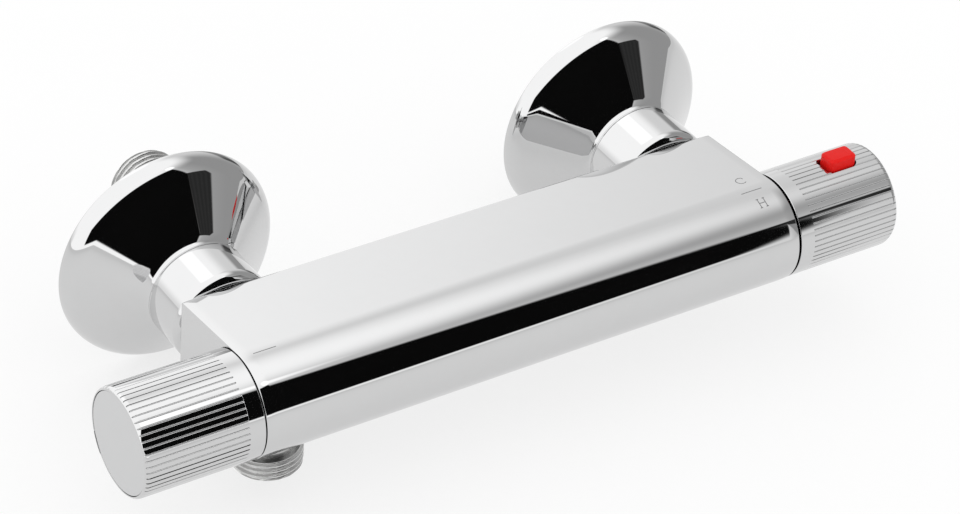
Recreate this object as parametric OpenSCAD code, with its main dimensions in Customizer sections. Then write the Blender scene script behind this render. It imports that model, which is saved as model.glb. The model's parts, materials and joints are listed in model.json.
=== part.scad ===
// Thermostatic bar valve for a shower, with two wall inlets and one threaded outlet below.
// The bar lies along X, its user stands at -Y and the wall is at +Y.
// The origin is on the bar's axis, midway between the two inlets.

/* [Bar body] */
// Distance between the two wall inlets
inlet_spacing = 150; // [130:1:180]
// Length of bar beyond the left inlet's axis
body_end_left = 14.7; // [14:0.1:22]
// Length of bar beyond the right inlet's axis
body_end_right = 14; // [13.5:0.1:22]
// Radius of the bar's round front
body_r = 16.2; // [15.6:0.1:18]
// Depth from the bar's axis to its back face
body_back = 33.2; // [32:0.1:38]
// Half height of the back face
body_back_half = 12.6; // [12:0.1:14]
// Rounding of the two long back edges
body_back_round = 1.2; // [0.6:0.1:1.8]
// Radius of the bore that takes a cartridge
cartridge_bore_r = 12; // [11.8:0.05:12.4]
// Radius of the long duct for mixed water
duct_r = 7; // [5:0.1:8]
// Radius of the duct that brings hot water across
hot_duct_r = 4.2; // [3.4:0.1:4.6]

/* [Outlet] */
// Distance of the outlet's axis from the bar's left end
outlet_inset = 9.3; // [9.3:0.1:15]
// Radius over the outlet thread, as a half inch pipe thread
outlet_r = 10.48; // [10:0.01:11]
// Length of the outlet below the bar's round
outlet_length = 7; // [5:0.1:12]
// Radius of the outlet's bore
outlet_bore_r = 7.6; // [6:0.1:8]
// Depth of the flat face that is cut round the outlet
spot_face_depth = 0.8; // [0.4:0.05:1.2]

/* [Handles] */
// Step down from the bar's round to the handles' lands
handle_step = 0.2; // [0:0.05:0.6]
// Length of the flow handle
flow_handle_length = 36.7; // [34:0.1:44]
// Length of the temperature handle
temperature_handle_length = 35.4; // [34:0.1:44]
// Gap between the bar and the flow handle
flow_handle_gap = 0.4; // [0.3:0.1:1.2]
// Gap between the bar and the temperature handle
temperature_handle_gap = 0.8; // [0.3:0.1:1.2]
// Length of the smooth collar beside the bar
collar_length = 4.8; // [3:0.1:8]
// Number of grooves round a handle
groove_count = 54; // [40:1:60]
// Depth of a groove
groove_depth = 0.45; // [0.2:0.05:0.6]
// Share of the pitch that a groove takes
groove_share = 0.36; // [0.3:0.02:0.7]
// Wall of a handle at its inside
handle_wall = 2.4; // [2.2:0.1:2.6]
// Width of the rim round the disc that closes a handle's end
cap_rim = 1.1; // [1:0.1:1.4]
// Thickness of that disc
cap_t = 1.4; // [1:0.1:1.8]

/* [Safety button] */
// Length of the button along the bar
button_length = 10.8; // [8:0.1:11.5]
// Width of the button round the handle
button_width = 6.6; // [5:0.1:7.4]
// Height of the button above the handle's lands
button_height = 2.9; // [2.4:0.1:3.4]
// Distance from the handle's end to the button's middle
button_end_place = 13.2; // [13:0.1:15]
// Travel of the button when it is pressed
button_travel = 2; // [1:0.1:2.2]

/* [Wall unions] */
// Radius of a union nut
nut_r = 15.7; // [15.4:0.1:17]
// Length of a union nut
nut_length = 16.8; // [14:0.1:18]
// Radius over a union's large thread, as a three quarter inch pipe thread
union_r = 13.22; // [13:0.01:13.4]
// Radius over a union's wall thread, as a half inch pipe thread
wall_thread_r = 10.48; // [10.2:0.01:10.6]
// Distance by which a union's wall thread is off its own axis
eccentricity = 12.5; // [6:0.1:13]
// Direction of the left wall thread, from the bar's end up, with the right one opposite
union_turn = 104.6; // [0:0.1:360]
// Depth from the bar's axis to the finished wall
wall_y = 70; // [69:0.1:76]
// Length of the thread that goes into the wall
wall_thread_length = 19.7; // [14:0.1:26]
// Radius of a wall flange at its rim
flange_r = 34; // [32:0.1:38]
// Wall of a flange, measured across its axis
flange_wall = 1.6; // [1.4:0.1:2]
// Travel of a flange along its thread
flange_travel = 4; // [1:0.1:4.5]
// Bore through an inlet tail
inlet_bore_r = 7.4; // [7.2:0.05:7.6]

/* [Hidden] */
$fn = 64;

// Overrun of every cut past the face that it starts from
overrun = 0.5;
// Clearance of parts that turn or slide in each other
running_gap = 0.06;
// Clearance of parts that stay still in each other
fit_gap = 0.1;
// Gap left between two faces that may pass each other
pass_gap = 0.3;
// Depth by which the bar's flats cut into its rounds
flat_sink = 0.02;

// Pipe threads
thread_rise = 1.814;
thread_depth = 0.85;
crest_share = 0.42;
root_share = 0.16;
last_crest_share = 0.25;
lead_chamfer = 0.9;

// Places along the bar
left_x = -inlet_spacing / 2;
right_x = inlet_spacing / 2;
body_left = left_x - body_end_left;
body_right = right_x + body_end_right;
outlet_x = body_left + outlet_inset;
flow_bore_depth = 27.7;
flow_bore_floor = body_left + flow_bore_depth;
thermostat_bore_depth = 59;
thermostat_bore_floor = body_right - thermostat_bore_depth;

// Water ways behind the bores
pocket_r = 10.4;
pocket_web = 2.5;
pocket_floor = cartridge_bore_r + pocket_web;
hot_duct_y = pocket_floor + hot_duct_r + fit_gap;
port_r = 3.8;
hot_port_depth = 35;
cold_port_depth = 20;
hot_port_x = body_right - hot_port_depth;
cold_port_x = body_right - cold_port_depth;

// Outlet socket and nipple
outlet_drop = body_r + outlet_length;
socket_web = 0.5;
socket_top = cartridge_bore_r + socket_web;
nipple_wall = 0.9;
nipple_shank_r = outlet_bore_r + nipple_wall;
nipple_shank_end = body_r + fit_gap;
spot_face_margin = 1.5;
spot_face_r = outlet_r + spot_face_margin;
spot_face_drop = body_r - spot_face_depth;
outlet_seal_t = 1.2;

// Cartridge heads, the same on both sides
head_r = 7.4;
head_reach = 8;
stem_r = 4;
spline_r = 3.5;
spline_teeth = 20;
spline_depth = 0.35;
tap_r = 2;
lock_nut_length = 9;
lock_nut_hex_length = 3.6;
lock_nut_flats = 21;
land_r = cartridge_bore_r - fit_gap;
o_ring_r = 0.85;
o_ring_centre_r = cartridge_bore_r - o_ring_r - running_gap;
o_groove_r = o_ring_centre_r - o_ring_r - running_gap;
groove_width_share = 2.4;
o_groove_w = groove_width_share * o_ring_r;
stem_ring_r = 0.6;
stem_ring_centre_r = stem_r - stem_ring_r;
stem_groove_r = stem_ring_centre_r - stem_ring_r - running_gap / 2;
stem_groove_w = groove_width_share * stem_ring_r;

// Handle insides, measured along the handle from its inner face
handle_r = body_r - handle_step;
handle_inner_r = handle_r - handle_wall;
groove_floor_gap = 0.15;
handle_core_r = handle_r - groove_depth - groove_floor_gap;
handle_edge_round = 1.6;
edge_steps = 5;
land_sink = 0.03;
boss_r = 6.8;
boss_length = 14.6;
insert_r = 5;
web_t = 1.8;
cap_space = 2.9;
cap_r = handle_r - cap_rim;
cap_skirt_step = 0.2;
cap_skirt_r = handle_inner_r + cap_skirt_step;
cap_skirt_t = 1.1;
cap_skirt_depth = 1;
cap_gap = 0.15;
screw_head_r = 3.6;
screw_head_t = 2;
screw_length = 12;
screw_key_r = 1.6;
screw_key_depth = 1.1;
spindle_tip_gap = 2.2;

// Button insides
button_place = temperature_handle_length - button_end_place;
button_corner = 1.7;
button_taper = 0.7;
button_slot_gap = 0.35;
button_plate_margin = 1.2;
button_plate_t = 1.2;
button_plate_drop = 1.05;
button_plate_top = handle_inner_r - button_plate_drop;
button_arm_w = 4;
button_arm_end = 4.2;
button_pin_r = 1.1;
button_pin_length = 3;
button_seat_r = 3.4;
pressed_button_room = 2.05;
button_seat_top = button_plate_top - button_plate_t - button_travel - pressed_button_room;
button_seat_hole_depth = 1.3;
button_spring_wire = 0.25;
button_spring_r = 2.4;
button_spring_curls = 3;

// Stop ring beside the handle
stop_ring_r = 9;
stop_ring_length = 4;
stop_lug_gap = 0.4;
stop_lug_r = handle_inner_r - stop_lug_gap;
stop_lug_start = 86;
stop_lug_end = 164;

// Flow cartridge, measured from the bore's floor towards the bar's end
seat_seal_t = 2.5;
disc_t = 3;
fixed_disc_r = 10.4;
moving_disc_r = 9.8;
disc_port_r = 2.6;
disc_port_place = 5.4;
driver_t = 3.2;
driver_w = 7;
shell_relief = 0.3;
clip_t = 0.8;
clip_r = 5.6;
clip_slit = 2.4;
flow_window_r = 3.2;
flow_window_place = 14;

// Thermostat cartridge
cage_bore_r = 8.5;
cage_length = 46;
cage_floor_t = 3;
cage_mouth_r = 5;
window_count = 6;
window_r = 2;
strainer_t = 0.35;
strainer_w = 8;
strainer_band = 0.9;
strainer_slot_w = 1.2;
strainer_slots = 24;
shuttle_w = 10.4;
bulb_r = 3.4;
bulb_reach = 9;
bulb_shoulder_r = 4.4;
piston_r = 1.5;
shoulder_r = 5.6;
shoulder_t = 1.6;
plate_t = 1;
plate_r = 6.2;
cup_t = 2.6;
cup_bore_r = 6.6;
cup_length = 8;
lead_r = 3.6;
thermostat_lead = 3;
thermostat_back_turn = 180;
cup_travel = thermostat_lead * thermostat_back_turn / 360;

// Springs
spring_rings = 8;
spring_sides = 6;
overload_spring_r = 5.2;
overload_spring_wire = 0.4;
overload_spring_curls = 3;
return_spring_r = 5.9;
return_spring_wire = 0.45;
return_spring_curls = 4;

// Inlets, measured from the bar's axis towards the wall
nut_start = body_back + pass_gap;
nut_end = nut_start + nut_length;
nut_round = 2.6;
nut_bead = 0.5;
nut_lip = 4.4;
inlet_well = 10;
tail_thread_start = pocket_floor + inlet_well;
tail_neck_r = 10.5;
flange_seat = nut_start + nut_lip + fit_gap;
tail_flange_t = 2.5;
tail_flange_r = 12;
washer_t = 2;
union_start = flange_seat + tail_flange_t + washer_t;
union_bore_r = 7.6;
slant_inset = 3;
slant_end = wall_y - slant_inset;
slant_big_r = 11.4;
slant_small_r = 10.1;
neck_clearance = 0.08;
flange_neck_gap = 0.4;
flange_neck_length = 0.9;
flange_neck_start = nut_end + flange_neck_gap;
flange_neck_end = flange_neck_start + flange_neck_length;
spare_thread = 1.6;
union_thread_end = flange_neck_end + flange_travel + spare_thread;
flange_neck_r = union_r + neck_clearance + flange_wall;
flange_cone_share = 0.655;
flange_cone_r_share = 0.814;
flange_lip_share = 0.805;
flange_steps = 10;

// Check valves, measured from the bar's axis towards the wall
tail_step = 1.6;
check_start = tail_thread_start + tail_step;
check_r = inlet_bore_r - fit_gap;
check_bore_r = 6.3;
check_throat_r = 4.2;
check_seat_t = 1.8;
check_guide_t = 1.4;
check_travel = 3;
pressed_check_room = 5.1;
poppet_r = 5.3;
poppet_t = 1.3;
check_length = check_guide_t + pressed_check_room + check_travel + poppet_t + check_seat_t;
poppet_stem_r = 1.2;
guide_hole_r = 1.5;
guide_hole_place = 3.9;
check_spring_wire = 0.25;
check_spring_r = 2.1;
check_spring_curls = 4;

function arc_point(radius, turn) = [radius * cos(turn), radius * sin(turn)];

// Point of a curve that leaves p in the direction of q and reaches s from it
function bend(p, q, s, t) = (1 - t) * (1 - t) * p + 2 * t * (1 - t) * q + t * t * s;

// Zigzag of a pipe thread from z0 to z1, as [radius, height] points with flat crests
function thread_points(crest, z0, z1) =
    let (turns = floor((z1 - z0) / thread_rise - last_crest_share),
        flank = (1 - crest_share - root_share) / 2,
        places = [0, crest_share, crest_share + flank, 1 - flank])
    [
        for (i = [0 : turns - 1], k = [0 : 3])
            [k < 2 ? crest : crest - thread_depth, z0 + thread_rise * (i + places[k])],
        [crest, z0 + thread_rise * turns]
    ];

// Outline of a splined stem
function spline_points(radius) =
    [for (i = [0 : 2 * spline_teeth - 1])
        arc_point(radius - (i % 2) * spline_depth, 180 * i / spline_teeth)];

// Outline of a grooved handle: two corners on each land and one at each groove's bottom
function grooved_points(radius) =
    let (pitch = 360 / groove_count, half = pitch * groove_share / 2)
    [for (i = [0 : groove_count - 1], k = [-1 : 1])
        arc_point(k == 0 ? radius - groove_depth : radius, pitch * i + k * half)];

// Rings of a coil spring along z, with its wire's middle on a helix
function coil_centre(radius, height, curls, t) =
    [radius * cos(360 * curls * t), radius * sin(360 * curls * t), height * t];
function coil_ring(radius, height, curls, wire, t) =
    let (turn = 360 * curls * t, rise = atan2(height, 2 * PI * radius * curls))
    [for (s = [0 : spring_sides - 1])
        let (a = 360 * s / spring_sides, out = wire * cos(a), up = wire * sin(a))
        coil_centre(radius, height, curls, t)
            + [out * cos(turn) + up * sin(rise) * sin(turn),
               out * sin(turn) - up * sin(rise) * cos(turn),
               up * cos(rise)]];

// Least distance between the wire's surfaces one curl apart
function coil_gap(height, curls, wire) = height / curls - 2 * wire;

// One unbroken round wire wound as a coil, its ends capped flat
module coil_spring(radius, length, curls, wire) {
    height = length - 2 * wire;
    rings = spring_rings * curls;
    echo(least_gap_of_the_spring_to_itself = coil_gap(height, curls, wire));
    points = [for (i = [0 : rings]) each coil_ring(radius, height, curls, wire, i / rings)];
    sides = [for (i = [0 : rings - 1], s = [0 : spring_sides - 1])
        let (a = i * spring_sides + s, b = i * spring_sides + (s + 1) % spring_sides)
        each [[a, a + spring_sides, b], [b, a + spring_sides, b + spring_sides]]];
    first = [for (s = [1 : spring_sides - 2]) [0, s, s + 1]];
    last = [for (s = [1 : spring_sides - 2])
        let (z = rings * spring_sides) [z, z + s + 1, z + s]];
    translate([0, 0, wire]) polyhedron(concat(points), concat(sides, first, last), convexity = 8);
}

// Places a child that is drawn along z
module along_right(x) { translate([x, 0, 0]) rotate([0, 90, 0]) children(); }
module along_left(x) { translate([x, 0, 0]) rotate([0, -90, 0]) children(); }
module at_inlet(x) { translate([x, 0, 0]) rotate([-90, 0, 0]) children(); }
module turned(points) { rotate_extrude() polygon(points); }
module tube(outer, inner, from, to) {
    translate([0, 0, from])
        linear_extrude(to - from)
            difference() {
                circle(outer);
                circle(inner);
            }
}
module rod(radius, from, to) { translate([0, 0, from]) cylinder(r = radius, h = to - from); }
module torus(centre_r, section_r, place) {
    translate([0, 0, place]) rotate_extrude() translate([centre_r, 0]) circle(section_r);
}
module ring_of(count, place) {
    for (i = [0 : count - 1]) rotate(360 * i / count) translate([place, 0, 0]) children();
}

// The bar before it is bored: a round front whose flats run to a back with rounded edges
module bar() {
    length = body_right - body_left;
    near = body_back - body_back_round;
    high = body_back_half - body_back_round;
    lean = atan2(high, near) + acos((body_r - body_back_round) / norm([near, high]));
    top = arc_point(body_r - flat_sink, lean);
    shoulder = [near, high] + arc_point(body_back_round - flat_sink, lean);
    back = body_back - flat_sink;
    cylinder(r = body_r, h = length);
    linear_extrude(length)
        polygon([
            top, shoulder, [back, high], [back, -high],
            [shoulder.x, -shoulder.y], [top.x, -top.y]
        ]);
    for (side = [-1, 1])
        translate([near, side * high, 0]) cylinder(r = body_back_round, h = length);
}

module valve_body() {
    color("lightsteelblue")
        difference() {
            translate([body_left, 0, 0]) rotate([90, 0, 90]) bar();
            along_right(body_left) rod(cartridge_bore_r, -overrun, flow_bore_depth);
            along_right(body_right) rod(cartridge_bore_r, -thermostat_bore_depth, overrun);
            along_right(flow_bore_floor - overrun)
                rod(duct_r, 0, thermostat_bore_floor - flow_bore_floor + 2 * overrun);
            at_inlet(left_x) rod(pocket_r, pocket_floor, body_back + overrun);
            at_inlet(right_x) rod(pocket_r, pocket_floor, body_back + overrun);
            translate([0, hot_duct_y, 0])
                along_right(left_x) rod(hot_duct_r, 0, hot_port_x + port_r - left_x);
            at_inlet(hot_port_x) rod(port_r, 0, hot_duct_y);
            at_inlet(cold_port_x) rod(port_r, 0, pocket_floor + overrun);
            translate([outlet_x, 0, -body_r - overrun])
                rod(spot_face_r, 0, body_r + overrun - spot_face_drop);
            translate([outlet_x, 0, -body_r])
                rod(nipple_shank_r, 0, body_r - socket_top);
            translate([outlet_x, 0, -body_r]) rod(outlet_bore_r, 0, body_r);
        }
}

module outlet_nipple() {
    thread_end = -outlet_drop + lead_chamfer;
    color("silver")
        translate([outlet_x, 0, 0])
            difference() {
                turned(concat(
                    [[0, -outlet_drop], [outlet_r - lead_chamfer, -outlet_drop]],
                    thread_points(outlet_r, thread_end, -nipple_shank_end),
                    [[outlet_r, -nipple_shank_end],
                     [nipple_shank_r, -nipple_shank_end],
                     [nipple_shank_r, -socket_top - outlet_seal_t - fit_gap],
                     [0, -socket_top - outlet_seal_t - fit_gap]]));
                rod(outlet_bore_r, -outlet_drop - overrun, 0);
            }
}

module outlet_seal() {
    color("dimgray")
        translate([outlet_x, 0, 0])
            tube(nipple_shank_r, outlet_bore_r, -socket_top - outlet_seal_t, -socket_top);
}

// Handle along z from its inner face, with its button slot up when it points along +X
module handle(length, with_button) {
    web_top = length - cap_t - cap_space;
    recess = length - cap_t - cap_gap;
    edge = length - handle_edge_round;
    difference() {
        union() {
            turned([
                [handle_inner_r, 0], [handle_r, 0], [handle_r, collar_length],
                [handle_core_r, collar_length], [handle_core_r, edge],
                for (i = [1 : edge_steps])
                    bend([handle_core_r, edge], [handle_core_r, length],
                        [cap_r + cap_gap * 2, length], i / edge_steps),
                [cap_r + cap_gap, length], [cap_r + cap_gap, recess],
                [cap_skirt_r + cap_gap, recess], [cap_skirt_r + cap_gap, web_top],
                [0, web_top], [0, web_top - web_t],
                [handle_inner_r, web_top - web_t]
            ]);
            translate([0, 0, collar_length])
                linear_extrude(edge - collar_length)
                    difference() {
                        polygon(grooved_points(handle_r - land_sink));
                        circle((handle_core_r + handle_inner_r) / 2 + cap_gap * 2);
                    }
            rod(boss_r, web_top - web_t - boss_length, web_top - web_t / 2);
            if (with_button)
                translate([0, 0, button_place])
                    rotate([0, -90, 0]) rod(button_seat_r, insert_r, button_seat_top);
        }
        rod(insert_r + running_gap, web_top - web_t - boss_length - overrun, web_top - web_t);
        rod(tap_r + fit_gap, 0, length);
        if (with_button) {
            translate([0, 0, button_place])
                rotate([0, -90, 0]) {
                    translate([0, 0, button_plate_top])
                        linear_extrude(handle_r)
                            button_outline(button_length + 2 * button_slot_gap,
                                button_width + 2 * button_slot_gap, button_corner + button_slot_gap);
                    rod(button_pin_r + fit_gap * 2, button_seat_top - button_seat_hole_depth,
                        button_plate_top);
                }
        }
    }
}

module handle_cap(length) {
    top = length - cap_gap;
    rod(cap_r, top - cap_t, top);
    tube(cap_skirt_r, cap_skirt_r - cap_skirt_t, top - cap_t - cap_skirt_depth, top - cap_t);
}

module handle_screw(length) {
    seat = length - cap_t - cap_space;
    difference() {
        union() {
            rod(screw_head_r, seat, seat + screw_head_t);
            rod(tap_r, seat - screw_length, seat);
        }
        translate([0, 0, seat + screw_head_t - screw_key_depth])
            cylinder(r = screw_key_r, h = screw_head_t, $fn = 6);
    }
}

module handle_insert(length) {
    floor_z = length - cap_t - cap_space - web_t;
    difference() {
        rod(insert_r, floor_z - boss_length, floor_z);
        translate([0, 0, floor_z - boss_length - overrun])
            linear_extrude(boss_length + 2 * overrun) polygon(spline_points(spline_r + fit_gap));
    }
}

// Round stem with a groove for its ring, then a splined end that takes the handle's screw
module stem(from, shoulder, to) {
    groove = shoulder - head_reach;
    difference() {
        union() {
            turned([
                [0, from], [stem_r, from], [stem_r, groove], [stem_groove_r, groove],
                [stem_groove_r, groove + stem_groove_w], [stem_r, groove + stem_groove_w],
                [stem_r, shoulder], [0, shoulder]
            ]);
            translate([0, 0, shoulder - overrun])
                linear_extrude(to - shoulder + overrun) polygon(spline_points(spline_r));
        }
        rod(tap_r + fit_gap, to - screw_length, to + overrun);
    }
}

// Hexagon ring that holds a cartridge in its bore
module lock_nut() {
    difference() {
        union() {
            rod(land_r, lock_nut_hex_length - lock_nut_length, 0);
            cylinder(r = lock_nut_flats / sqrt(3), h = lock_nut_hex_length, $fn = 6);
        }
        rod(head_r + fit_gap, lock_nut_hex_length - lock_nut_length - overrun,
            lock_nut_hex_length + overrun);
    }
}

function handle_place_left() = body_left - flow_handle_gap;
function handle_place_right() = body_right + temperature_handle_gap;
function spindle_tip(length) = length - cap_t - cap_space - web_t - spindle_tip_gap;

// Flow side, drawn along z from the floor of its bore towards the bar's left end
flow_head = flow_bore_depth + lock_nut_hex_length - lock_nut_length;
flow_shoulder = flow_bore_depth + lock_nut_hex_length + stop_ring_length;
flow_driver = seat_seal_t + 2 * disc_t;
module from_flow_floor() { along_left(flow_bore_floor) children(); }

module flow_handle() {
    color("silver") along_left(handle_place_left()) handle(flow_handle_length, false);
}
module flow_handle_cap() {
    color("gainsboro") along_left(handle_place_left()) handle_cap(flow_handle_length);
}
module flow_handle_screw() {
    color("gray") along_left(handle_place_left()) handle_screw(flow_handle_length);
}
module flow_handle_insert() {
    color("whitesmoke") along_left(handle_place_left()) handle_insert(flow_handle_length);
}

module flow_seat_seal() {
    color("dimgray") from_flow_floor() tube(fixed_disc_r, duct_r, 0, seat_seal_t);
}

module fixed_ceramic_disc() {
    color("ivory")
        from_flow_floor()
            difference() {
                rod(fixed_disc_r - running_gap, seat_seal_t, seat_seal_t + disc_t);
                ring_of(2, disc_port_place) rod(disc_port_r, 0, flow_driver);
            }
}

module moving_ceramic_disc() {
    color("antiquewhite")
        from_flow_floor()
            difference() {
                rod(moving_disc_r, seat_seal_t + disc_t, flow_driver);
                rotate(90) ring_of(2, disc_port_place) rod(disc_port_r, 0, flow_driver + overrun);
            }
}

module flow_spindle() {
    tip = flow_handle_gap + spindle_tip(flow_handle_length) + flow_bore_depth;
    color("goldenrod")
        from_flow_floor() {
            stem(flow_driver + driver_t / 2, flow_shoulder, tip);
            translate([0, 0, flow_driver])
                linear_extrude(driver_t)
                    intersection() {
                        circle(moving_disc_r - fit_gap);
                        square([driver_w, 2 * moving_disc_r], center = true);
                    }
        }
}

module flow_spindle_o_ring() {
    color("black")
        from_flow_floor()
            torus(stem_ring_centre_r, stem_ring_r, flow_shoulder - head_reach + stem_groove_w / 2);
}

// Split clip in the end of the flow cartridge's head
module flow_spindle_clip() {
    place = flow_shoulder + fit_gap;
    color("slategray")
        from_flow_floor()
            translate([0, 0, place])
                linear_extrude(clip_t)
                    difference() {
                        circle(clip_r);
                        circle(spline_r + fit_gap);
                        translate([0, -clip_slit / 2]) square([clip_r + overrun, clip_slit]);
                    }
}
module flow_cartridge_body() {
    ring_place = flow_head - o_groove_w;
    color("white")
        from_flow_floor()
            difference() {
                turned([
                    [fixed_disc_r, seat_seal_t], [land_r - shell_relief, seat_seal_t],
                    [land_r - shell_relief, ring_place - o_groove_w], [land_r, ring_place - o_groove_w],
                    [land_r, ring_place - o_groove_w / 2], [o_groove_r, ring_place - o_groove_w / 2],
                    [o_groove_r, ring_place + o_groove_w / 2], [land_r, ring_place + o_groove_w / 2],
                    [land_r, flow_head - fit_gap], [head_r, flow_head - fit_gap],
                    [head_r, flow_shoulder], [stem_r + running_gap, flow_shoulder],
                    [stem_r + running_gap, flow_head - o_groove_w / 2],
                    [fixed_disc_r, flow_head - o_groove_w]
                ]);
                for (i = [0 : 3])
                    rotate(90 * i) translate([0, 0, flow_window_place]) rotate([0, 90, 0])
                        rod(flow_window_r, 0, cartridge_bore_r);
            }
}

module flow_cartridge_o_ring() {
    color("black")
        from_flow_floor() torus(o_ring_centre_r, o_ring_r, flow_head - o_groove_w);
}

module flow_lock_nut() {
    color("goldenrod") along_left(body_left) lock_nut();
}

// Temperature side, drawn along z from the bar's right end, with the inside below zero
cage_start = -lock_nut_length + lock_nut_hex_length - cage_length;
cage_end = lock_nut_hex_length - lock_nut_length;
thermostat_shoulder = lock_nut_hex_length + stop_ring_length;
hot_port = hot_port_x - body_right;
cold_port = cold_port_x - body_right;
shuttle_middle = (hot_port + cold_port) / 2;
shuttle_start = shuttle_middle - shuttle_w / 2;
shuttle_end = shuttle_middle + shuttle_w / 2;
stem_collar = cage_end + pass_gap;
cup_end = cage_end - cup_travel - pass_gap;
cup_start = cup_end - cup_length;
cup_floor = cup_end - cup_t;
plate_start = cup_start - fit_gap;
module from_right_end() { along_right(body_right) children(); }

module temperature_handle() {
    color("silver") along_right(handle_place_right()) handle(temperature_handle_length, true);
}
module temperature_handle_cap() {
    color("gainsboro") along_right(handle_place_right()) handle_cap(temperature_handle_length);
}
module temperature_handle_screw() {
    color("gray") along_right(handle_place_right()) handle_screw(temperature_handle_length);
}
module temperature_handle_insert() {
    color("whitesmoke") along_right(handle_place_right()) handle_insert(temperature_handle_length);
}

// Rounded rectangle, long along x
module button_outline(length, width, corner) {
    square([length - 2 * corner, width], center = true);
    square([length, width - 2 * corner], center = true);
    for (x = [-1, 1], y = [-1, 1])
        translate([x * (length / 2 - corner), y * (width / 2 - corner)]) circle(corner);
}

module at_button() { translate([handle_place_right() + button_place, 0, 0]) children(); }

module safety_stop_button() {
    top = handle_r + button_height;
    plate_base = button_plate_top - button_plate_t;
    arm_start = button_arm_end - button_place;
    color("red")
        at_button() {
            hull() {
                translate([0, 0, button_plate_top - button_plate_t / 2])
                    linear_extrude(top - button_plate_top - button_taper + button_plate_t / 2)
                        button_outline(button_length, button_width, button_corner, $fn = 32);
                translate([0, 0, top - button_taper])
                    linear_extrude(button_taper)
                        button_outline(button_length - 2 * button_taper,
                            button_width - 2 * button_taper, button_corner - button_taper / 2, $fn = 32);
            }
            translate([0, 0, plate_base])
                linear_extrude(button_plate_t) {
                    button_outline(button_length + 2 * button_plate_margin,
                        button_width + 2 * button_plate_margin, button_corner);
                    translate([arm_start, -button_arm_w / 2]) square([-arm_start, button_arm_w]);
                }
            rod(button_pin_r, plate_base - button_pin_length, plate_base);
        }
}

module button_spring() {
    length = button_plate_top - button_plate_t - button_seat_top - 2 * fit_gap;
    color("gray")
        at_button()
            translate([0, 0, button_seat_top + fit_gap])
                coil_spring(button_spring_r, length, button_spring_curls, button_spring_wire);
}

// Ring on the cartridge's head, with a lug that ends the handle's turn both ways
module stop_ring() {
    color("slategray")
        from_right_end()
            translate([0, 0, lock_nut_hex_length + fit_gap]) {
                tube(stop_ring_r, head_r + fit_gap, 0, stop_ring_length - 2 * fit_gap);
                linear_extrude(stop_ring_length - 2 * fit_gap)
                    difference() {
                        intersection() {
                            circle(stop_lug_r);
                            polygon([
                                [0, 0],
                                for (i = [0 : 2])
                                    arc_point(2 * stop_lug_r,
                                        180 + stop_lug_start + i * (stop_lug_end - stop_lug_start) / 2)
                            ]);
                        }
                        circle((stop_ring_r + head_r) / 2);
                    }
            }
}

module thermostat_o_ring_places(width) {
    for (z = [cage_start + width, shuttle_middle, cage_end - width]) translate([0, 0, z]) children();
}

// Cage with a closed head, two rows of windows and three ring grooves
module thermostat_cartridge_body() {
    color("white")
        from_right_end()
            difference() {
                turned([
                    [cage_mouth_r, cage_start], [land_r, cage_start], [land_r, cage_end - fit_gap],
                    [head_r, cage_end - fit_gap], [head_r, thermostat_shoulder],
                    [stem_r + running_gap, thermostat_shoulder],
                    [stem_r + running_gap, stem_collar + shoulder_t + fit_gap],
                    [shoulder_r, stem_collar + shoulder_t + fit_gap],
                    [shoulder_r, cage_end], [cage_bore_r, cage_end - fit_gap * 2],
                    [cage_bore_r, cage_start + cage_floor_t], [cage_mouth_r, cage_start + cage_floor_t]
                ]);
                thermostat_o_ring_places(1.5 * o_groove_w)
                    tube(land_r + overrun, o_groove_r, -o_groove_w / 2, o_groove_w / 2);
                for (z = [hot_port, cold_port])
                    translate([0, 0, z]) {
                        tube(land_r + overrun, land_r - 2 * strainer_t,
                            -strainer_w / 2 + fit_gap, strainer_w / 2 - fit_gap);
                        for (i = [0 : window_count - 1])
                            rotate(360 * i / window_count) rotate([0, 90, 0])
                                rod(window_r, 0, cartridge_bore_r);
                    }
            }
}

module thermostat_o_rings() {
    color("black")
        from_right_end()
            thermostat_o_ring_places(1.5 * o_groove_w) torus(o_ring_centre_r, o_ring_r, 0);
}

// Slotted sleeves over the two rows of windows
module hot_and_cold_strainers() {
    half = strainer_w / 2 - 2 * fit_gap;
    outer = land_r - fit_gap;
    inner = land_r - 2 * strainer_t + fit_gap / 2;
    color("lightgray")
        from_right_end()
            for (z = [hot_port, cold_port])
                translate([0, 0, z]) {
                    tube(outer, inner, -half, -half + strainer_band);
                    tube(outer, inner, half - strainer_band, half);
                    translate([0, 0, -half + strainer_band])
                        linear_extrude(2 * (half - strainer_band))
                            difference() {
                                circle(outer);
                                circle(inner);
                                for (i = [0 : strainer_slots / 2 - 1])
                                    rotate(360 * i / strainer_slots)
                                        square([2 * cartridge_bore_r, strainer_slot_w], center = true);
                            }
                }
}

module thermostat_spindle() {
    tip = temperature_handle_gap + spindle_tip(temperature_handle_length);
    lead_start = plate_start + plate_t + cup_travel + pass_gap;
    color("goldenrod")
        from_right_end() {
            stem(stem_collar, thermostat_shoulder, tip);
            rod(shoulder_r - fit_gap, stem_collar, stem_collar + shoulder_t);
            rod(lead_r, lead_start, stem_collar);
        }
}

module thermostat_spindle_o_ring() {
    color("black")
        from_right_end()
            torus(stem_ring_centre_r, stem_ring_r, thermostat_shoulder - head_reach + stem_groove_w / 2);
}

module adjusting_cup() {
    color("khaki")
        from_right_end()
            turned([
                [lead_r + running_gap, cup_floor], [cup_bore_r, cup_floor],
                [cup_bore_r, cup_start], [cage_bore_r - running_gap, cup_start],
                [cage_bore_r - running_gap, cup_end], [lead_r + running_gap, cup_end]
            ]);
}

module overload_spring() {
    from = plate_start + plate_t + fit_gap;
    color("gray")
        from_right_end()
            translate([0, 0, from])
                coil_spring(overload_spring_r, cup_floor - from - fit_gap, overload_spring_curls,
                    overload_spring_wire);
}

module overload_plate() {
    color("slategray") from_right_end() rod(plate_r, plate_start, plate_start + plate_t);
}

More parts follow.
